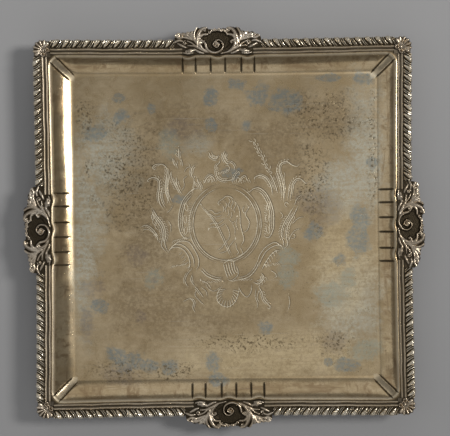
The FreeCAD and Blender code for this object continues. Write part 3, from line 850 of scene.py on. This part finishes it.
def worn_lip(x, y):
    """Rubbed metal on the bead round the lip and on the panels across the corners."""
    away = past_lip(x, y)
    lip = 0.30 * np.exp(-((away + 1.1) / 1.2) ** 2)
    across = np.abs(np.abs(x) - np.abs(y))
    wall = (away < -2.5) & (np.minimum(np.abs(x), np.abs(y)) > FLOOR_HALF - 4)
    return np.maximum(lip, np.where(wall & (across < 3.4), 0.2, 0))


def dulled(x, y):
    """Metal dulled by rubbing: the bead round the lip, and the line where wall and floor meet."""
    lip = np.exp(-((past_lip(x, y) + 1.1) / 1.4) ** 2)
    return np.maximum(lip, np.exp(-((past_floor(x, y) + 0.3) / 0.9) ** 2))


def tapered(path, width):
    """Half the width of a cut at each point of its path: it narrows to both ends."""
    along = share(path)
    return width / 2 * np.minimum(1, np.minimum(along, 1 - along) * 7 + 0.12)


def cut_samples(strokes):
    """Points close together along all the cuts' middle lines, and half the width at each."""
    places, halves = [], []
    for width, path in strokes:
        fine = np.linspace(0, 1, max(2, len(path) * 3))
        along = share(path)
        x, y = np.interp(fine, along, path[:, 0]), np.interp(fine, along, path[:, 1])
        places.append(np.column_stack([x, y]))
        halves.append(np.interp(fine, along, tapered(path, width)))
    return np.vstack(places), np.concatenate(halves)


def cut_surface(points, strokes, steepness):
    """At each point, the depth of the cuts, its share of the deepest, and a band beside them on one
    side.
    The band is burred, raised a little, and carries painted shade for the cut's flank that faces away
    from the key light."""
    places, halves = cut_samples(strokes)
    tree = search_tree(places)
    depth, part, burr_and_painted_shade = np.zeros(len(points)), np.zeros(len(points)), np.zeros(len(points))
    for k, (x, y) in enumerate(points):
        for _, index, away in tree.find_n((x, y, 0), 6):
            half = halves[index]
            near = 1 - away / half
            if near > 0.02:
                depth[k] = max(depth[k], steepness * half * near)
                part[k] = max(part[k], near)
            elif away < half + 2 * BURR_AND_SHADE_HALF:
                # painted shade: only on the side towards the key light, where the cut's flank faces
                # away from the light
                side_x, side_y = x - places[index][0], y - places[index][1]
                towards = side_x * BURR_AND_SHADE_SIDE[0] + side_y * BURR_AND_SHADE_SIDE[1]
                if towards > 0:
                    form = 1 - abs(away - half - BURR_AND_SHADE_HALF) / BURR_AND_SHADE_HALF
                    form *= min(1.0, towards / away * 1.6)
                    burr_and_painted_shade[k] = max(burr_and_painted_shade[k], form * min(1.0, half / 0.3))
    return depth, part, np.where(part > 0.02, 0, burr_and_painted_shade)


def plate_lines(strokes):
    """Lines that the plate's upper mesh follows: rings round the well, and open lines on cuts."""
    closed, along_cuts = [], []
    for inset in LIP_LINES:
        line = ring(LIP_HALF - inset, INCURVE, LIP_CORNER, 120, 10)
        swell = lip_bulge(line[:, 0], line[:, 1])[:, None]
        closed.append(line - line / np.abs(line).max(axis=1)[:, None] * swell)
    for step in WELL_LINES:
        closed.append(ring(*well_shape(step), 48, 8) + FLOOR_SHIFT * min(step, 1))
    for width, path in strokes:
        half = tapered(path, width)
        along_cuts.append(path)
        for offset in (half, half + BURR_AND_SHADE_HALF, half + 2 * BURR_AND_SHADE_HALF):
            along_cuts += [beside(path, offset), beside(path, -offset)]
    return closed, along_cuts


def plate_top(rim, strokes):
    """Flat points and triangles of the plate's upper side."""
    closed, along_cuts = plate_lines(strokes)
    edges, start = [], 0
    for number, line in enumerate([rim] + closed + along_cuts):
        edges += line_edges(start, len(line), number <= len(closed))
        start += len(line)
    grid = np.arange(-GRID_REACH, GRID_REACH + 0.1, GRID_STEP)
    gx, gy = np.meshgrid(grid, grid)
    plain = np.column_stack([gx.ravel(), gy.ravel()])
    return triangulate(np.vstack([rim] + closed + along_cuts + [plain]), edges, rim)


def plate_underside(rim):
    """Rings of points from the flange's edge in to the floor, then across the floor."""
    rings = [(rim, LIP_TOP - SHEET)]
    for step in UNDER_LINES:
        rise, steep = wall_rise(step)
        slope = math.atan(WELL_DEPTH * steep / (LIP_HALF - FLOOR_HALF))
        half, bow, corner = well_shape(step)
        line = ring(half + SHEET * math.sin(slope), bow, corner) + FLOOR_SHIFT * step
        rings.append((line, FLOOR_TOP + rise * WELL_DEPTH - SHEET * math.cos(slope)))
    for part in np.linspace(0.95, 0.05, 19):
        line = ring(FLOOR_HALF, FLOOR_INCURVE, FLOOR_CORNER) * part + FLOOR_SHIFT
        wave = unevenness(line[:, 0], line[:, 1]) * min(1, (1 - part) * 4)
        rings.append((line, FOOT_HEIGHT + wave * 0.6))
    return [np.column_stack([line, np.broadcast_to(z, len(line))]) for line, z in rings]


def make_plate():
    """The plate, with its flutes and engraving cut into it."""
    flutes = flute_strokes()
    engraved = (cartouche_strokes() + lower_scroll_strokes() + plume_strokes() + shell_strokes()
                + lion_strokes() + shading_strokes())
    rim = ring(HALF - FLANGE_INSET, INCURVE, FLANGE_CORNER)
    flat, faces = plate_top(rim, flutes + engraved)
    x, y = flat[:, 0], flat[:, 1]
    top, recess = plate_surface(x, y)
    depth, dirt, _ = cut_surface(flat, flutes, FLUTE_SLOPE)
    cut_depth, cut, burr_and_painted_shade = cut_surface(flat, engraved, ENGRAVED_SLOPE)
    recess = np.maximum(recess, np.minimum(1, 1.8 * dirt))
    top = top - np.maximum(depth, cut_depth) + BURR_HEIGHT * burr_and_painted_shade

    under = plate_underside(rim)
    find = search_tree(flat).find
    levels = [[find((*point, 0))[1] for point in rim]]
    for number in range(len(under)):
        start = len(flat) + number * len(rim)
        levels.append(list(range(start, start + len(rim))))
    for outer, inner in zip(levels, levels[1:]):
        faces += band(outer, inner)
    faces.append(levels[-1])
    vertices = np.vstack([np.column_stack([flat, top])] + under)
    below = np.zeros(len(vertices) - len(flat))
    plate = add_piece("salver_plate", vertices, faces, sheet_silver, "sheet_silver",
                      np.concatenate([recess, below + 0.12]), PLATE_SHARP)
    # cut: lighter metal in the cuts, partly a painted highlight, and on the rubbed lip
    cut = np.maximum(cut, worn_lip(x, y))
    # the burred band also carries painted shade beside each cut
    for name, values in (("cut", cut), ("burr_and_painted_shade", burr_and_painted_shade), ("dull", dulled(x, y))):
        paint(plate.data, name, np.concatenate([values, below]))


make_plate()

# ---- the border runs ----------------------------------------------------------------------


def sweep(name, x, inset, z, recess, mirror, quarter, material, slot):
    """Closed profiles, one row after another along the back side, joined and capped."""
    y = side_edge(x) - inset
    vertices = np.column_stack([(-x if mirror else x).ravel(), y.ravel(), z.ravel()])
    add_piece(name, turned(vertices, quarter), tube(*inset.shape), material, slot, recess.ravel())


LEAN = math.tan(math.radians(31))
LOBE_HALF = 2.3
LOBE_HEIGHT = 2.7
REED_HALF = 0.55
REED_PLACES = (0.87, 0.07)                  # the thin reeds between lobes, as shares of the pitch
# How wide and how high a lobe is, from the outer edge in, as shares of its greatest.
LOBE_WIDTHS = ([0, 0.12, 0.35, 0.7, 0.9, 1], [0.75, 1, 1, 0.66, 0.4, 0.15])
LOBE_RISES = ([0, 0.1, 0.3, 0.6, 0.85, 1], [0.3, 0.8, 1, 0.85, 0.5, 0.1])
CREASE = ([0.1, 0.25, 0.7, 0.85], [0, 1, 1, 0])
BED = ([0, 0.15, 0.5, 0.85, 1], [0.2, 1.0, 1.4, 1.0, 0.5])


def gadroon_rows(start, end):
    """Stations, insets, heights and dirt of a gadroon run."""
    count = round((end - start) / GADROON_PITCH)
    pitch = (end - start) / count
    stations = np.linspace(start, end, int((end - start) / 0.3))[:, None]
    across = np.linspace(0, 1, 22)[None, :]
    middle = GADROON_WIDTH / 2

    def slant(inset):
        return LEAN * (inset - middle) + 0.06 * (inset - middle) ** 2

    def place(along, inset):
        """Distance from the nearest lobe's centre line, and the cell's share from 0 to 1."""
        cell = ((along - start - slant(inset)) / pitch) % 1.0
        return (cell - 0.5) * pitch, cell

    # The rows run along the lobes, and turn square at both ends of the run.
    free = np.clip(np.minimum(stations - start, end - stations) / 6, 0, 1)
    edge_along = stations + slant(0.5) * free
    edge_away, _ = place(edge_along, 0.5)
    edge = 0.15 + 0.75 * (1 - np.sqrt(np.clip(1 - (edge_away / 2.2) ** 2, 0, 1)))
    inset = edge + (GADROON_WIDTH - edge) * across
    along = stations + slant(inset) * free
    away, cell = place(along, inset)
    part = inset / GADROON_WIDTH
    half = LOBE_HALF * np.interp(part, *LOBE_WIDTHS)
    rise = LOBE_HEIGHT * np.interp(part, *LOBE_RISES)
    form = np.sqrt(np.clip(1 - (away / half) ** 2, 0, 1))
    crease = np.exp(-((away - 0.3) / 0.4) ** 2) * np.interp(part, *CREASE)
    lobe = rise * form - 0.5 * crease * form
    reed = np.zeros(inset.shape)
    for centre in REED_PLACES:
        gap = ((cell - centre + 0.5) % 1.0 - 0.5) * pitch
        reed = np.maximum(reed, np.sqrt(np.clip(1 - (gap / REED_HALF) ** 2, 0, 1)))
    z = LIP_TOP + np.interp(part, *BED) + np.maximum(lobe, reed * 0.9 * np.minimum(1, rise / 1.6))
    dirt = 1.0 - np.maximum(form ** 0.8 * (1 - 0.4 * crease), reed * 0.7)
    dirt = np.maximum(dirt, np.clip((part - 0.88) / 0.12, 0, 1))
    # The rest of the closed profile: inner foot, rabbet over the flange, outer wall.
    inner, outer = along[:, -1:], along[:, :1]
    rest = [(inner, GADROON_WIDTH, CASTING_SEAT, 1.0), (inner, FLANGE_INSET, CASTING_SEAT, 1.0),
            (outer, FLANGE_INSET, CASTING_BOTTOM, 0.6), (outer, edge + 0.25, CASTING_BOTTOM, 0.6)]
    ones = np.ones((len(stations), 1))
    return [np.hstack([first] + [ones * value for value in others])
            for first, *others in zip((along, inset, z, dirt), *rest)]


WIRE_GAP = 0.15                             # between the gadroons and the wire
# The wire's section, two round reeds with a channel between them: inset, height, dirt.
WIRE_PROFILE = [(0.0, 0.02, 1.0), (0.05, 0.6, 1.0), (0.35, 1.25, 0.2), (0.85, 1.6, 0.0),
                (1.4, 1.35, 0.1), (1.75, 0.8, 0.7), (2.1, 0.45, 1.0), (2.8, 0.45, 1.0),
                (3.1, 0.75, 0.8), (3.4, 1.15, 0.25), (3.85, 1.35, 0.0), (4.3, 1.1, 0.2),
                (4.65, 0.6, 0.9), (4.9, 0.02, 1.0)]


def wire_rows(start, end):
    """The same for a reeded wire, which sways a little along its length."""
    stations = np.linspace(start, end, 70)[:, None]
    inset, z, dirt = (np.array(column)[None, :] for column in zip(*WIRE_PROFILE))
    sway = 0.12 * np.sin(stations / 6.3 + start) + 0.08 * np.sin(stations / 2.9)
    ones = np.ones(stations.shape)
    inset = GADROON_WIDTH + WIRE_GAP + inset * ones + sway
    along = np.broadcast_to(stations, inset.shape)
    return along, inset, LIP_TOP + z * ones + 0.06 * sway, 0.85 * dirt * ones + 0.1 * sway


for quarter, side in enumerate(SIDES):
    for sense, sign in (("clockwise", 1), ("anticlockwise", -1)):
        shift = sign * cartouche_shift(quarter)
        gadroons = gadroon_rows(CARTOUCHE_HALF + shift, CORNER_START)
        sweep("gadroons_%s_%s" % (side, sense), *gadroons, sign < 0, quarter, cast_silver,
              "cast_silver")
        wire = wire_rows(WIRE_START + shift, CORNER_START)
        sweep("reeded_wire_%s_%s" % (side, sense), *wire, sign < 0, quarter, drawn_silver,
              "drawn_silver")

# ---- relief castings ----------------------------------------------------------------------

BELOW = -9.0                                # under any ground, so that a shape isn't taken there


class Relief:
    """Heights over a set of points, built up from ridges, leaves and balls."""

    def __init__(self, points, ground, dirt, slim=1.0):
        """slim scales the width of every ridge."""
        self.points = points
        self.slim = slim
        self.height = ground
        self.dirt = dirt

    def raise_to(self, height, form):
        """Takes a shape where it stands over what is there. Its flanks, where form is 0, are dirty."""
        higher = height > self.height
        self.dirt = np.where(higher, 1 - 0.87 * form, self.dirt)
        self.height = np.where(higher, height, self.height)

    def ridge(self, path, half, rise, lift=0.6, vein=0.0):
        """A rounded ridge along a path. half and rise are given at its start, middle and end."""
        path = spline(path, 0.4)
        along = share(path)
        close = np.abs(self.points - path.mean(axis=0)).max(axis=1) < np.ptp(path, axis=0).max() + 4
        index = np.nonzero(close)[0]
        gaps = np.linalg.norm(self.points[index, None] - path[None], axis=2)
        best = gaps.argmin(axis=1)
        away = gaps[np.arange(len(index)), best]
        width = np.interp(along[best], [0, 0.5, 1], half) * self.slim
        top = np.interp(along[best], [0, 0.5, 1], rise)
        form = np.sqrt(np.clip(1 - (away / width) ** 2, 0, 1))
        cut = vein * (np.exp(-(away / 0.28) ** 2)
                      + 0.8 * (width > 1.1) * np.exp(-((away - 0.85) / 0.24) ** 2))
        height = np.full(len(self.points), BELOW)
        shape = np.zeros(len(self.points))
        covered = away < width
        height[index[covered]] = (lift + top * form - cut)[covered]
        shape[index[covered]] = (form * (1 - np.minimum(1, 1.7 * cut)))[covered]
        self.raise_to(height, shape)

    def curl(self, centre, radius, start, sweep_angle, half=0.45, rise=1.3, shrink=0.45):
        """A ridge that winds inwards about a centre."""
        angles = np.radians(np.linspace(start, start + sweep_angle, 9))
        radii = np.linspace(radius, radius * shrink, 9)
        path = np.column_stack([centre[0] + radii * np.cos(angles),
                                centre[1] + radii * np.sin(angles)])
        self.ridge(path, (half, half, half * 1.2), (rise, rise, rise * 1.1))

    def ball(self, centre, radius, rise, lift=0.6):
        away = np.linalg.norm(self.points - centre, axis=1)
        form = np.sqrt(np.clip(1 - (away / radius) ** 2, 0, 1))
        self.raise_to(np.where(away < radius, lift + rise * form, BELOW), form)

    def eye(self, centre, radius, depth=0.6):
        """A small dark hollow."""
        form = np.exp(-(np.linalg.norm(self.points - centre, axis=1) / radius) ** 2)
        self.height = self.height - depth * form
        self.dirt = np.maximum(self.dirt, 1.3 * form)


def softened(values, faces):
    """Each value averaged half and half with its neighbours', as a casting loses its sharpness."""
    corners = np.array(faces)
    pairs = np.vstack([corners[:, [0, 1]], corners[:, [1, 2]], corners[:, [2, 0]]])
    pairs = np.vstack([pairs, pairs[:, ::-1]])
    total, count = np.zeros(len(values)), np.zeros(len(values))
    np.add.at(total, pairs[:, 0], values[pairs[:, 1]])
    np.add.at(count, pairs[:, 0], 1)
    return values / 2 + total / np.maximum(count, 1) / 2


RELIEF_SHARP = 70                           # only the castings' outlines stay sharp


def relief_piece(name, outline, spacing, carve, quarter, to_plan):
    """A casting: points inside the outline, carved by a function, walled and turned in place."""
    outline = np.array(outline)
    low, high = outline.min(axis=0), outline.max(axis=0)
    xs = np.arange(low[0] + spacing / 2, high[0], spacing)
    ys = np.arange(low[1] + spacing / 2, high[1], spacing * 0.87)
    gx, gy = np.meshgrid(xs, ys)
    gx = gx + (np.arange(len(ys)) % 2)[:, None] * spacing / 2
    inner = np.column_stack([gx.ravel(), gy.ravel()])
    inner = inner[inside(inner, outline)]
    flat, faces = triangulate(np.vstack([outline, inner]), line_edges(0, len(outline)), outline)
    height, dirt = carve(flat)
    height = softened(softened(height, faces), faces)
    vertices, faces, shade = walled(flat, faces, LIP_TOP + height, dirt, CASTING_BOTTOM)
    vertices[:, :2] = to_plan(vertices[:, :2])
    add_piece(name, turned(vertices, quarter), faces, relief_silver, "cast_silver", shade,
              RELIEF_SHARP)


# Half of a cartouche's leaves, drawn towards -U from the eye of the volute, with V outwards:
# path, half widths, rises, depth of the vein.
LEAVES = [
    ([(-17.5, -1.5), (-21.6, 1.6), (-26.4, 4.6)], (0.9, 1.4, 0.8), (1.0, 1.4, 1.2), 0.3),
    ([(-17.0, -2.0), (-19.6, 2.2), (-21.6, 4.9), (-23.6, 5.6)], (0.9, 1.5, 1.2), (1.3, 1.7, 1.5), 0.4),
    ([(-16.4, -3.0), (-17.8, 2.0), (-17.4, 5.4), (-15.4, 8.6)], (1.0, 1.5, 1.2), (1.5, 1.9, 1.7), 0.4),
    ([(-16.6, -1.0), (-19.4, 2.6), (-19.4, 6.6)], (0.6, 1.0, 0.7), (1.2, 1.5, 1.4), 0.3),
    ([(-15.3, -6.0), (-15.2, 0.0), (-13.4, 5.0), (-11.0, 7.6), (-8.2, 8.5)], (0.8, 2.0, 1.6),
     (1.6, 2.3, 2.3), 0.4),
    ([(-14.4, -3.0), (-13.0, 1.0), (-10.6, 3.2), (-7.4, 3.4)], (0.5, 1.5, 1.1), (1.2, 1.9, 1.6), 0.3),
    ([(-19.5, -0.8), (-25.5, 1.2), (-29.6, 0.8), (-32.6, 2.2)], (0.5, 0.9, 1.2), (1.0, 1.1, 1.2), 0.0),
    ([(-2.5, -11.6), (-9.6, -9.7), (-15.4, -6.5), (-19.4, -3.3), (-23.0, -1.6)], (0.6, 0.9, 0.7),
     (1.3, 1.5, 1.1), 0.0),
    ([(-8.6, -10.6), (-14.0, -7.7), (-18.6, -5.6), (-22.6, -5.2)], (0.6, 0.8, 0.6),
     (1.1, 1.3, 1.0), 0.0),
    ([(-7.4, -10.6), (-11.8, -7.0), (-13.6, -3.4), (-12.2, -1.2), (-10.0, -2.2)], (0.7, 1.7, 1.2),
     (1.3, 1.9, 1.9), 0.4),
    ([(-17.6, -8.6), (-20.6, -9.4), (-24.2, -9.7)], (1.1, 2.3, 1.0), (1.0, 1.8, 1.2), 0.5),
    ([(-19.0, -11.2), (-23.0, -11.6), (-26.4, -10.8)], (0.5, 0.8, 0.5), (0.8, 1.1, 0.8), 0.0),
    ([(-10.4, -11.3), (-14.4, -10.0), (-17.6, -7.8)], (0.5, 1.2, 0.5), (0.9, 1.2, 0.8), 0.3),
    ([(-24.4, -6.6), (-27.2, -5.4), (-30.6, -3.6)], (0.6, 1.2, 0.6), (0.9, 1.2, 0.8), 0.3),
    ([(-27.0, -1.6), (-30.0, -1.2), (-33.6, -2.6)], (0.6, 1.1, 0.7), (0.8, 1.1, 0.7), 0.2),
    ([(-22.0, 1.2), (-26.0, 3.2), (-30.0, 4.4), (-33.2, 2.8)], (0.6, 0.8, 0.9), (0.9, 1.1, 1.2), 0.0),
]
EYE = (-0.8, -4.4)
# The leafy outer edge, tip by tip and dip by dip, from the right end to the left.
SILHOUETTE = [(34.4, -3.0), (34.2, 0.2), (33.2, 2.4), (31.2, 3.9), (30.0, 3.6), (28.6, 5.0),
              (26.4, 5.8), (25.4, 5.0), (23.6, 5.9), (21.9, 5.4), (20.4, 6.3), (18.6, 6.2),
              (17.6, 8.2), (15.6, 8.9), (13.9, 8.8), (12.4, 9.3), (9.6, 9.3), (7.4, 8.9),
              (6.2, 8.0), (4.6, 8.6), (3.0, 7.8), (1.4, 8.4), (-0.4, 7.6), (-2.2, 7.9),
              (-3.9, 7.2), (-5.6, 7.6), (-7.3, 7.7), (-9.2, 9.1), (-12.6, 9.2), (-14.0, 8.4),
              (-15.8, 8.8), (-17.3, 7.9), (-18.6, 6.2), (-20.6, 6.0), (-22.0, 5.3), (-23.8, 5.6),
              (-25.4, 4.7), (-27.4, 5.0), (-28.9, 4.3), (-30.8, 4.9), (-33.0, 3.6), (-33.8, 1.2),
              (-34.4, -2.4)]
# The curls among the leaves, on the same half: x, y, radius, and where each starts in degrees.
CURLS = [(-30.6, 2.8, 1.7, 200), (-27.4, 2.3, 1.3, 20), (-22.9, 4.2, 1.2, 30),
         (-24.9, -3.1, 1.7, 90), (-11.4, -2.9, 1.0, 60), (-9.2, 6.6, 0.9, 150)]
# The small curls over the volute: x, y and start.
CREST_CURLS = [(-4.4, 6.2, 0), (-1.9, 6.8, 90), (0.7, 7.4, 200), (2.8, 6.1, 40), (4.6, 6.9, 150),
               (6.4, 5.4, 300), (7.6, 7.2, 60), (-6.2, 5.0, 120)]
# The volute's radius as it winds out, by the angle in degrees.
VOLUTE = ([-720, -360, -180, 0, 90, 180, 240, 275], [0.2, 1.5, 2.5, 3.2, 5.0, 6.4, 8.2, 9.0])
VOLUTE_TURNS = [*range(-720, 0, 90), 0, 45, 90, 135, 180, 215, 245, 275]
CARTOUCHE_MESH = 0.36                       # spacing of the mesh's points
CARTOUCHE_SLIM = 0.95                       # scales the width of the leaves
CARTOUCHE_BOLD = 1.25                       # scales the casting's height


def carve_cartouche(points):
    """Leaves and curls on both sides of a volute, on a matted ground."""
    u, v = points[:, 0], points[:, 1]
    field = ((u + 0.2) / 10.2) ** 2 + ((v + 1.6) / 7.0) ** 2
    punched = 0.2 * np.sin(u * 3.4 + np.sin(v * 2.3)) * np.sin(v * 3.2 + np.sin(u * 1.9))
    ground = np.where(field < 1, 0.35 + punched, 0.75 + 0.1 * np.sin(u * 1.3) * np.sin(v * 2.1))
    relief = Relief(points, ground, np.where(field < 1, 1.08 + 1.2 * punched, 1.1),
                    CARTOUCHE_SLIM)
    for sign in (-1, 1):
        for path, half, rise, vein in LEAVES:
            path = np.array(path) * (-sign, 1) + (EYE[0] + (0.9 if sign > 0 else 0), 0)
            relief.ridge(path, half, rise, 0.6, vein)
        for x, y, radius, start in CURLS:
            centre = (x * -sign + EYE[0], y)
            relief.curl(centre, radius, start if sign < 0 else 180 - start, 300 * -sign)
            relief.ball(centre, radius * 0.42, 1.5)
    for x, y, start in CREST_CURLS:
        relief.curl((x, y), 1.15, start, 280, 0.62, 1.7)
    turns = np.radians(VOLUTE_TURNS)
    radii = np.interp(VOLUTE_TURNS, *VOLUTE)
    path = np.column_stack([EYE[0] + radii * np.sin(turns), EYE[1] + radii * np.cos(turns)])
    relief.ridge(path, (0.7, 0.85, 1.5), (1.6, 2.0, 2.2), 0.7)
    relief.ball(EYE, 1.05, 2.2, 0.7)
    return relief.height * CARTOUCHE_BOLD, relief.dirt


def cartouche_outline():
    """The leafy outer edge, the steps at both ends, and the straight inner side."""
    outer = spline(SILHOUETTE, 0.6)
    inner = [(-34.4, -6.9), (-28, -6.9), *((x, -12.3) for x in range(-28, 29, 14)), (28, -6.9),
             (34.4, -6.9)]
    return np.vstack([outer, inner])


def make_cartouche(quarter):
    """One side's cartouche, bent to follow the border and a little off its middle."""
    shift = cartouche_shift(quarter)

    def to_plan(points):
        along = points[:, 0] + shift
        return np.column_stack([along, side_edge(along) + points[:, 1]])

    relief_piece("cartouche_" + SIDES[quarter], cartouche_outline(), CARTOUCHE_MESH,
                 carve_cartouche, quarter, to_plan)


for quarter in range(4):
    make_cartouche(quarter)

SHELL_MESH = 0.33
FAN_INSET = 8.9                             # the shell's middle, from both outer edges
CORNER_VOLUTE = (12.4, 8.9)                 # one volute's middle. The other mirrors it


def carve_corner(points):
    """A shell of radiating lobes, two volutes with dark eyes, and a bar towards the lip."""
    middle = np.full(2, HALF - FAN_INSET)
    relief = Relief(points, np.full(len(points), 0.8), np.full(len(points), 0.8))
    for k in range(7):
        angle = math.radians(45 + 156 * (k / 6 - 0.5))
        outward = np.array([math.cos(angle), math.sin(angle)])
        end = k in (0, 6)
        path = [middle + outward * reach for reach in (1.8, 4.6, 6.1 if end else 7.2)]
        relief.ridge(path, (0.3, 1.4, 2.0) if end else (0.3, 0.9, 1.3),
                     (1.0, 2.0, 2.4) if end else (0.9, 1.8, 2.0), 0.7)
    for sign in (-1, 1):
        centre = HALF - np.array(CORNER_VOLUTE[::sign])
        relief.curl(centre, 1.5, 45 + 90 * sign, 420 * sign, 0.65, 2.6, 0.95)
        relief.eye(centre, 0.7, 1.2)
    relief.ball(middle, 1.3, 1.0)
    lip = LIP_HALF + 0.9
    relief.ridge([(lip - 1.4, lip + 3.9), (lip + 0.9, lip + 0.9), (lip + 3.9, lip - 1.4)],
                 (0.6, 0.8, 0.6), (0.9, 1.4, 0.9))
    return relief.height, relief.dirt


def corner_outline():
    """The scalloped outer corner, straight ends against the runs, and a cut across the lip."""
    middle = HALF - FAN_INSET
    start = CORNER_START + 0.1
    lip = LIP_HALF + 0.6
    angle = np.linspace(136, -46, 56)
    radius = np.interp(angle, [-46, -33, 0, 45, 90, 123, 136], [7.2, 7.9, 8.2, 8.7, 8.2, 7.9, 7.2])
    radius = radius - 0.35 * (1 - np.cos(np.radians((angle - 45) * 360 / 26)))
    fan = middle + radius[:, None] * np.column_stack([np.cos(np.radians(angle)),
                                                      np.sin(np.radians(angle))])
    fan = fan[(fan[:, 0] > start + 0.2) & (fan[:, 1] > start + 0.2)]
    fan = np.minimum(fan, HALF - 0.1)
    back = [(start, lip), (start, HALF - 3.5)]
    right = [(HALF - 3.5, start), (lip, start)]
    return np.vstack([back, fan, right, [(LIP_HALF - 1.7, LIP_HALF - 1.7)]])


for quarter, corner in enumerate(CORNERS):
    relief_piece("corner_shell_" + corner, corner_outline(), SHELL_MESH, carve_corner, quarter,
                 lambda points: points)

# ---- the feet -----------------------------------------------------------------------------

FOOT_SEGMENTS = 40
FOOT_DRAWN = 16.0                           # height that the profile is drawn at
FOOT_PLATE = 8.0                            # radius of the round plate that is soldered on
# Reach along the diagonal, height, radius along it, radius across it, and depth of the ribs.
FOOT_PROFILE = [
    (0.0, 16.0, 7.9, 7.9, 0.00), (0.0, 14.9, 7.9, 7.9, 0.03), (0.0, 14.5, 7.2, 7.2, 0.05),
    (0.6, 14.2, 5.6, 5.8, 0.09), (1.6, 13.2, 4.9, 5.0, 0.10), (2.6, 12.0, 4.5, 4.3, 0.09),
    (3.1, 10.4, 3.9, 3.5, 0.07), (3.2, 8.8, 3.2, 2.9, 0.04), (3.1, 7.2, 2.7, 2.5, 0.02),
    (3.2, 5.8, 2.5, 2.4, 0.03), (3.6, 4.6, 2.7, 2.7, 0.06), (4.2, 3.4, 3.3, 3.4, 0.09),
    (4.7, 2.3, 4.0, 4.1, 0.10), (5.0, 1.2, 4.5, 4.5, 0.08), (5.0, 0.4, 4.4, 4.4, 0.05),
    (5.0, 0.0, 3.9, 3.9, 0.0)]


def make_foot(name, quarter):
    """A cast scroll foot: leafy knee, slim ankle, and a ribbed toe on a flat sole."""
    low, _ = box_mm("foot_back_right")
    diagonal = math.sqrt(0.5)
    angle = np.linspace(0, 2 * math.pi, FOOT_SEGMENTS, endpoint=False)
    wave = 0.5 - 0.5 * np.cos(angle * 8)
    vertices, shade = [], []
    for reach, z, along, across, ribs in FOOT_PROFILE:
        u = np.cos(angle) * along * (1 - ribs * wave) + reach
        v = np.sin(angle) * across * (1 - ribs * wave)
        vertices.append(np.column_stack([low[0] + FOOT_PLATE + (u - v) * diagonal,
                                         low[1] + FOOT_PLATE + (u + v) * diagonal,
                                         np.full(FOOT_SEGMENTS, z * FOOT_HEIGHT / FOOT_DRAWN)]))
        shade.append(np.clip(wave * ribs * 9, 0, 0.9) + 0.05)
    add_piece(name, turned(np.vstack(vertices), quarter), tube(len(FOOT_PROFILE), FOOT_SEGMENTS),
              cast_silver, "cast_silver", np.concatenate(shade), 40)


for quarter, corner in enumerate(CORNERS):
    make_foot("foot_" + corner, quarter)

# ---- floor, lights and camera -------------------------------------------------------------


def make_floor():
    """The plain pale surface that the salver stands on."""
    n = Nodes("pale_floor")
    place = n.add("ShaderNodeTexCoord").outputs["Object"]
    cloud = n.noise(place, 3.0, 3.0)
    n.set(n.shader.inputs["Base Color"], n.mix(cloud, (0.36, 0.36, 0.365), (0.395, 0.395, 0.40)))
    n.set(n.shader.inputs["Roughness"], 0.85)
    bpy.ops.mesh.primitive_plane_add(size=6)
    floor = bpy.context.object
    floor.name = "studio_floor"
    floor.data.materials.append(n.material)


def area_light(name, place, size, power, colour=(1, 1, 1), aim=(0, 0, 0.02), spread=180):
    """A soft light that points at the salver. spread is in degrees."""
    light = bpy.data.lights.new(name, "AREA")
    light.shape = "RECTANGLE"
    light.size, light.size_y = size
    light.energy = power
    light.color = colour
    light.spread = math.radians(spread)
    lamp = bpy.data.objects.new(name, light)
    lamp.location = place
    lamp.rotation_euler = (Vector(aim) - Vector(place)).to_track_quat("-Z", "Y").to_euler()
    bpy.context.scene.collection.objects.link(lamp)


def make_camera():
    """Straight above the salver, with the back at the top."""
    camera = bpy.data.cameras.new("camera")
    camera.lens = 100
    camera.sensor_width = 36
    camera.clip_start = 0.01
    view = bpy.data.objects.new("camera", camera)
    view.location = (0.0008, 0.0075, 1.012)
    view.rotation_euler = (0, 0, math.radians(-0.6))
    bpy.context.scene.collection.objects.link(view)
    bpy.context.scene.camera = view


make_floor()
area_light("key", (0.85, 0.22, 1.2), (0.27, 0.34), 2.12, (1, 0.98, 0.95), (-0.2, 0.28, 0), 80)
area_light("overhead", (0, -0.2, 1.8), (0.9, 1.1), 1.38)
area_light("left", (-1.1, 0, 1.0), (0.7, 1.2), 1.3)
area_light("back", (0, 1.1, 1.0), (1.2, 0.7), 1.45)
area_light("front", (0, -1.1, 1.0), (1.2, 0.7), 1.25)
world = bpy.data.worlds.new("studio")
world.use_nodes = True
world.node_tree.nodes["Background"].inputs[0].default_value = (1, 1, 1, 1)
world.node_tree.nodes["Background"].inputs[1].default_value = 0.235
bpy.context.scene.world = world
bpy.context.scene.view_settings.view_transform = "Standard"
make_camera()
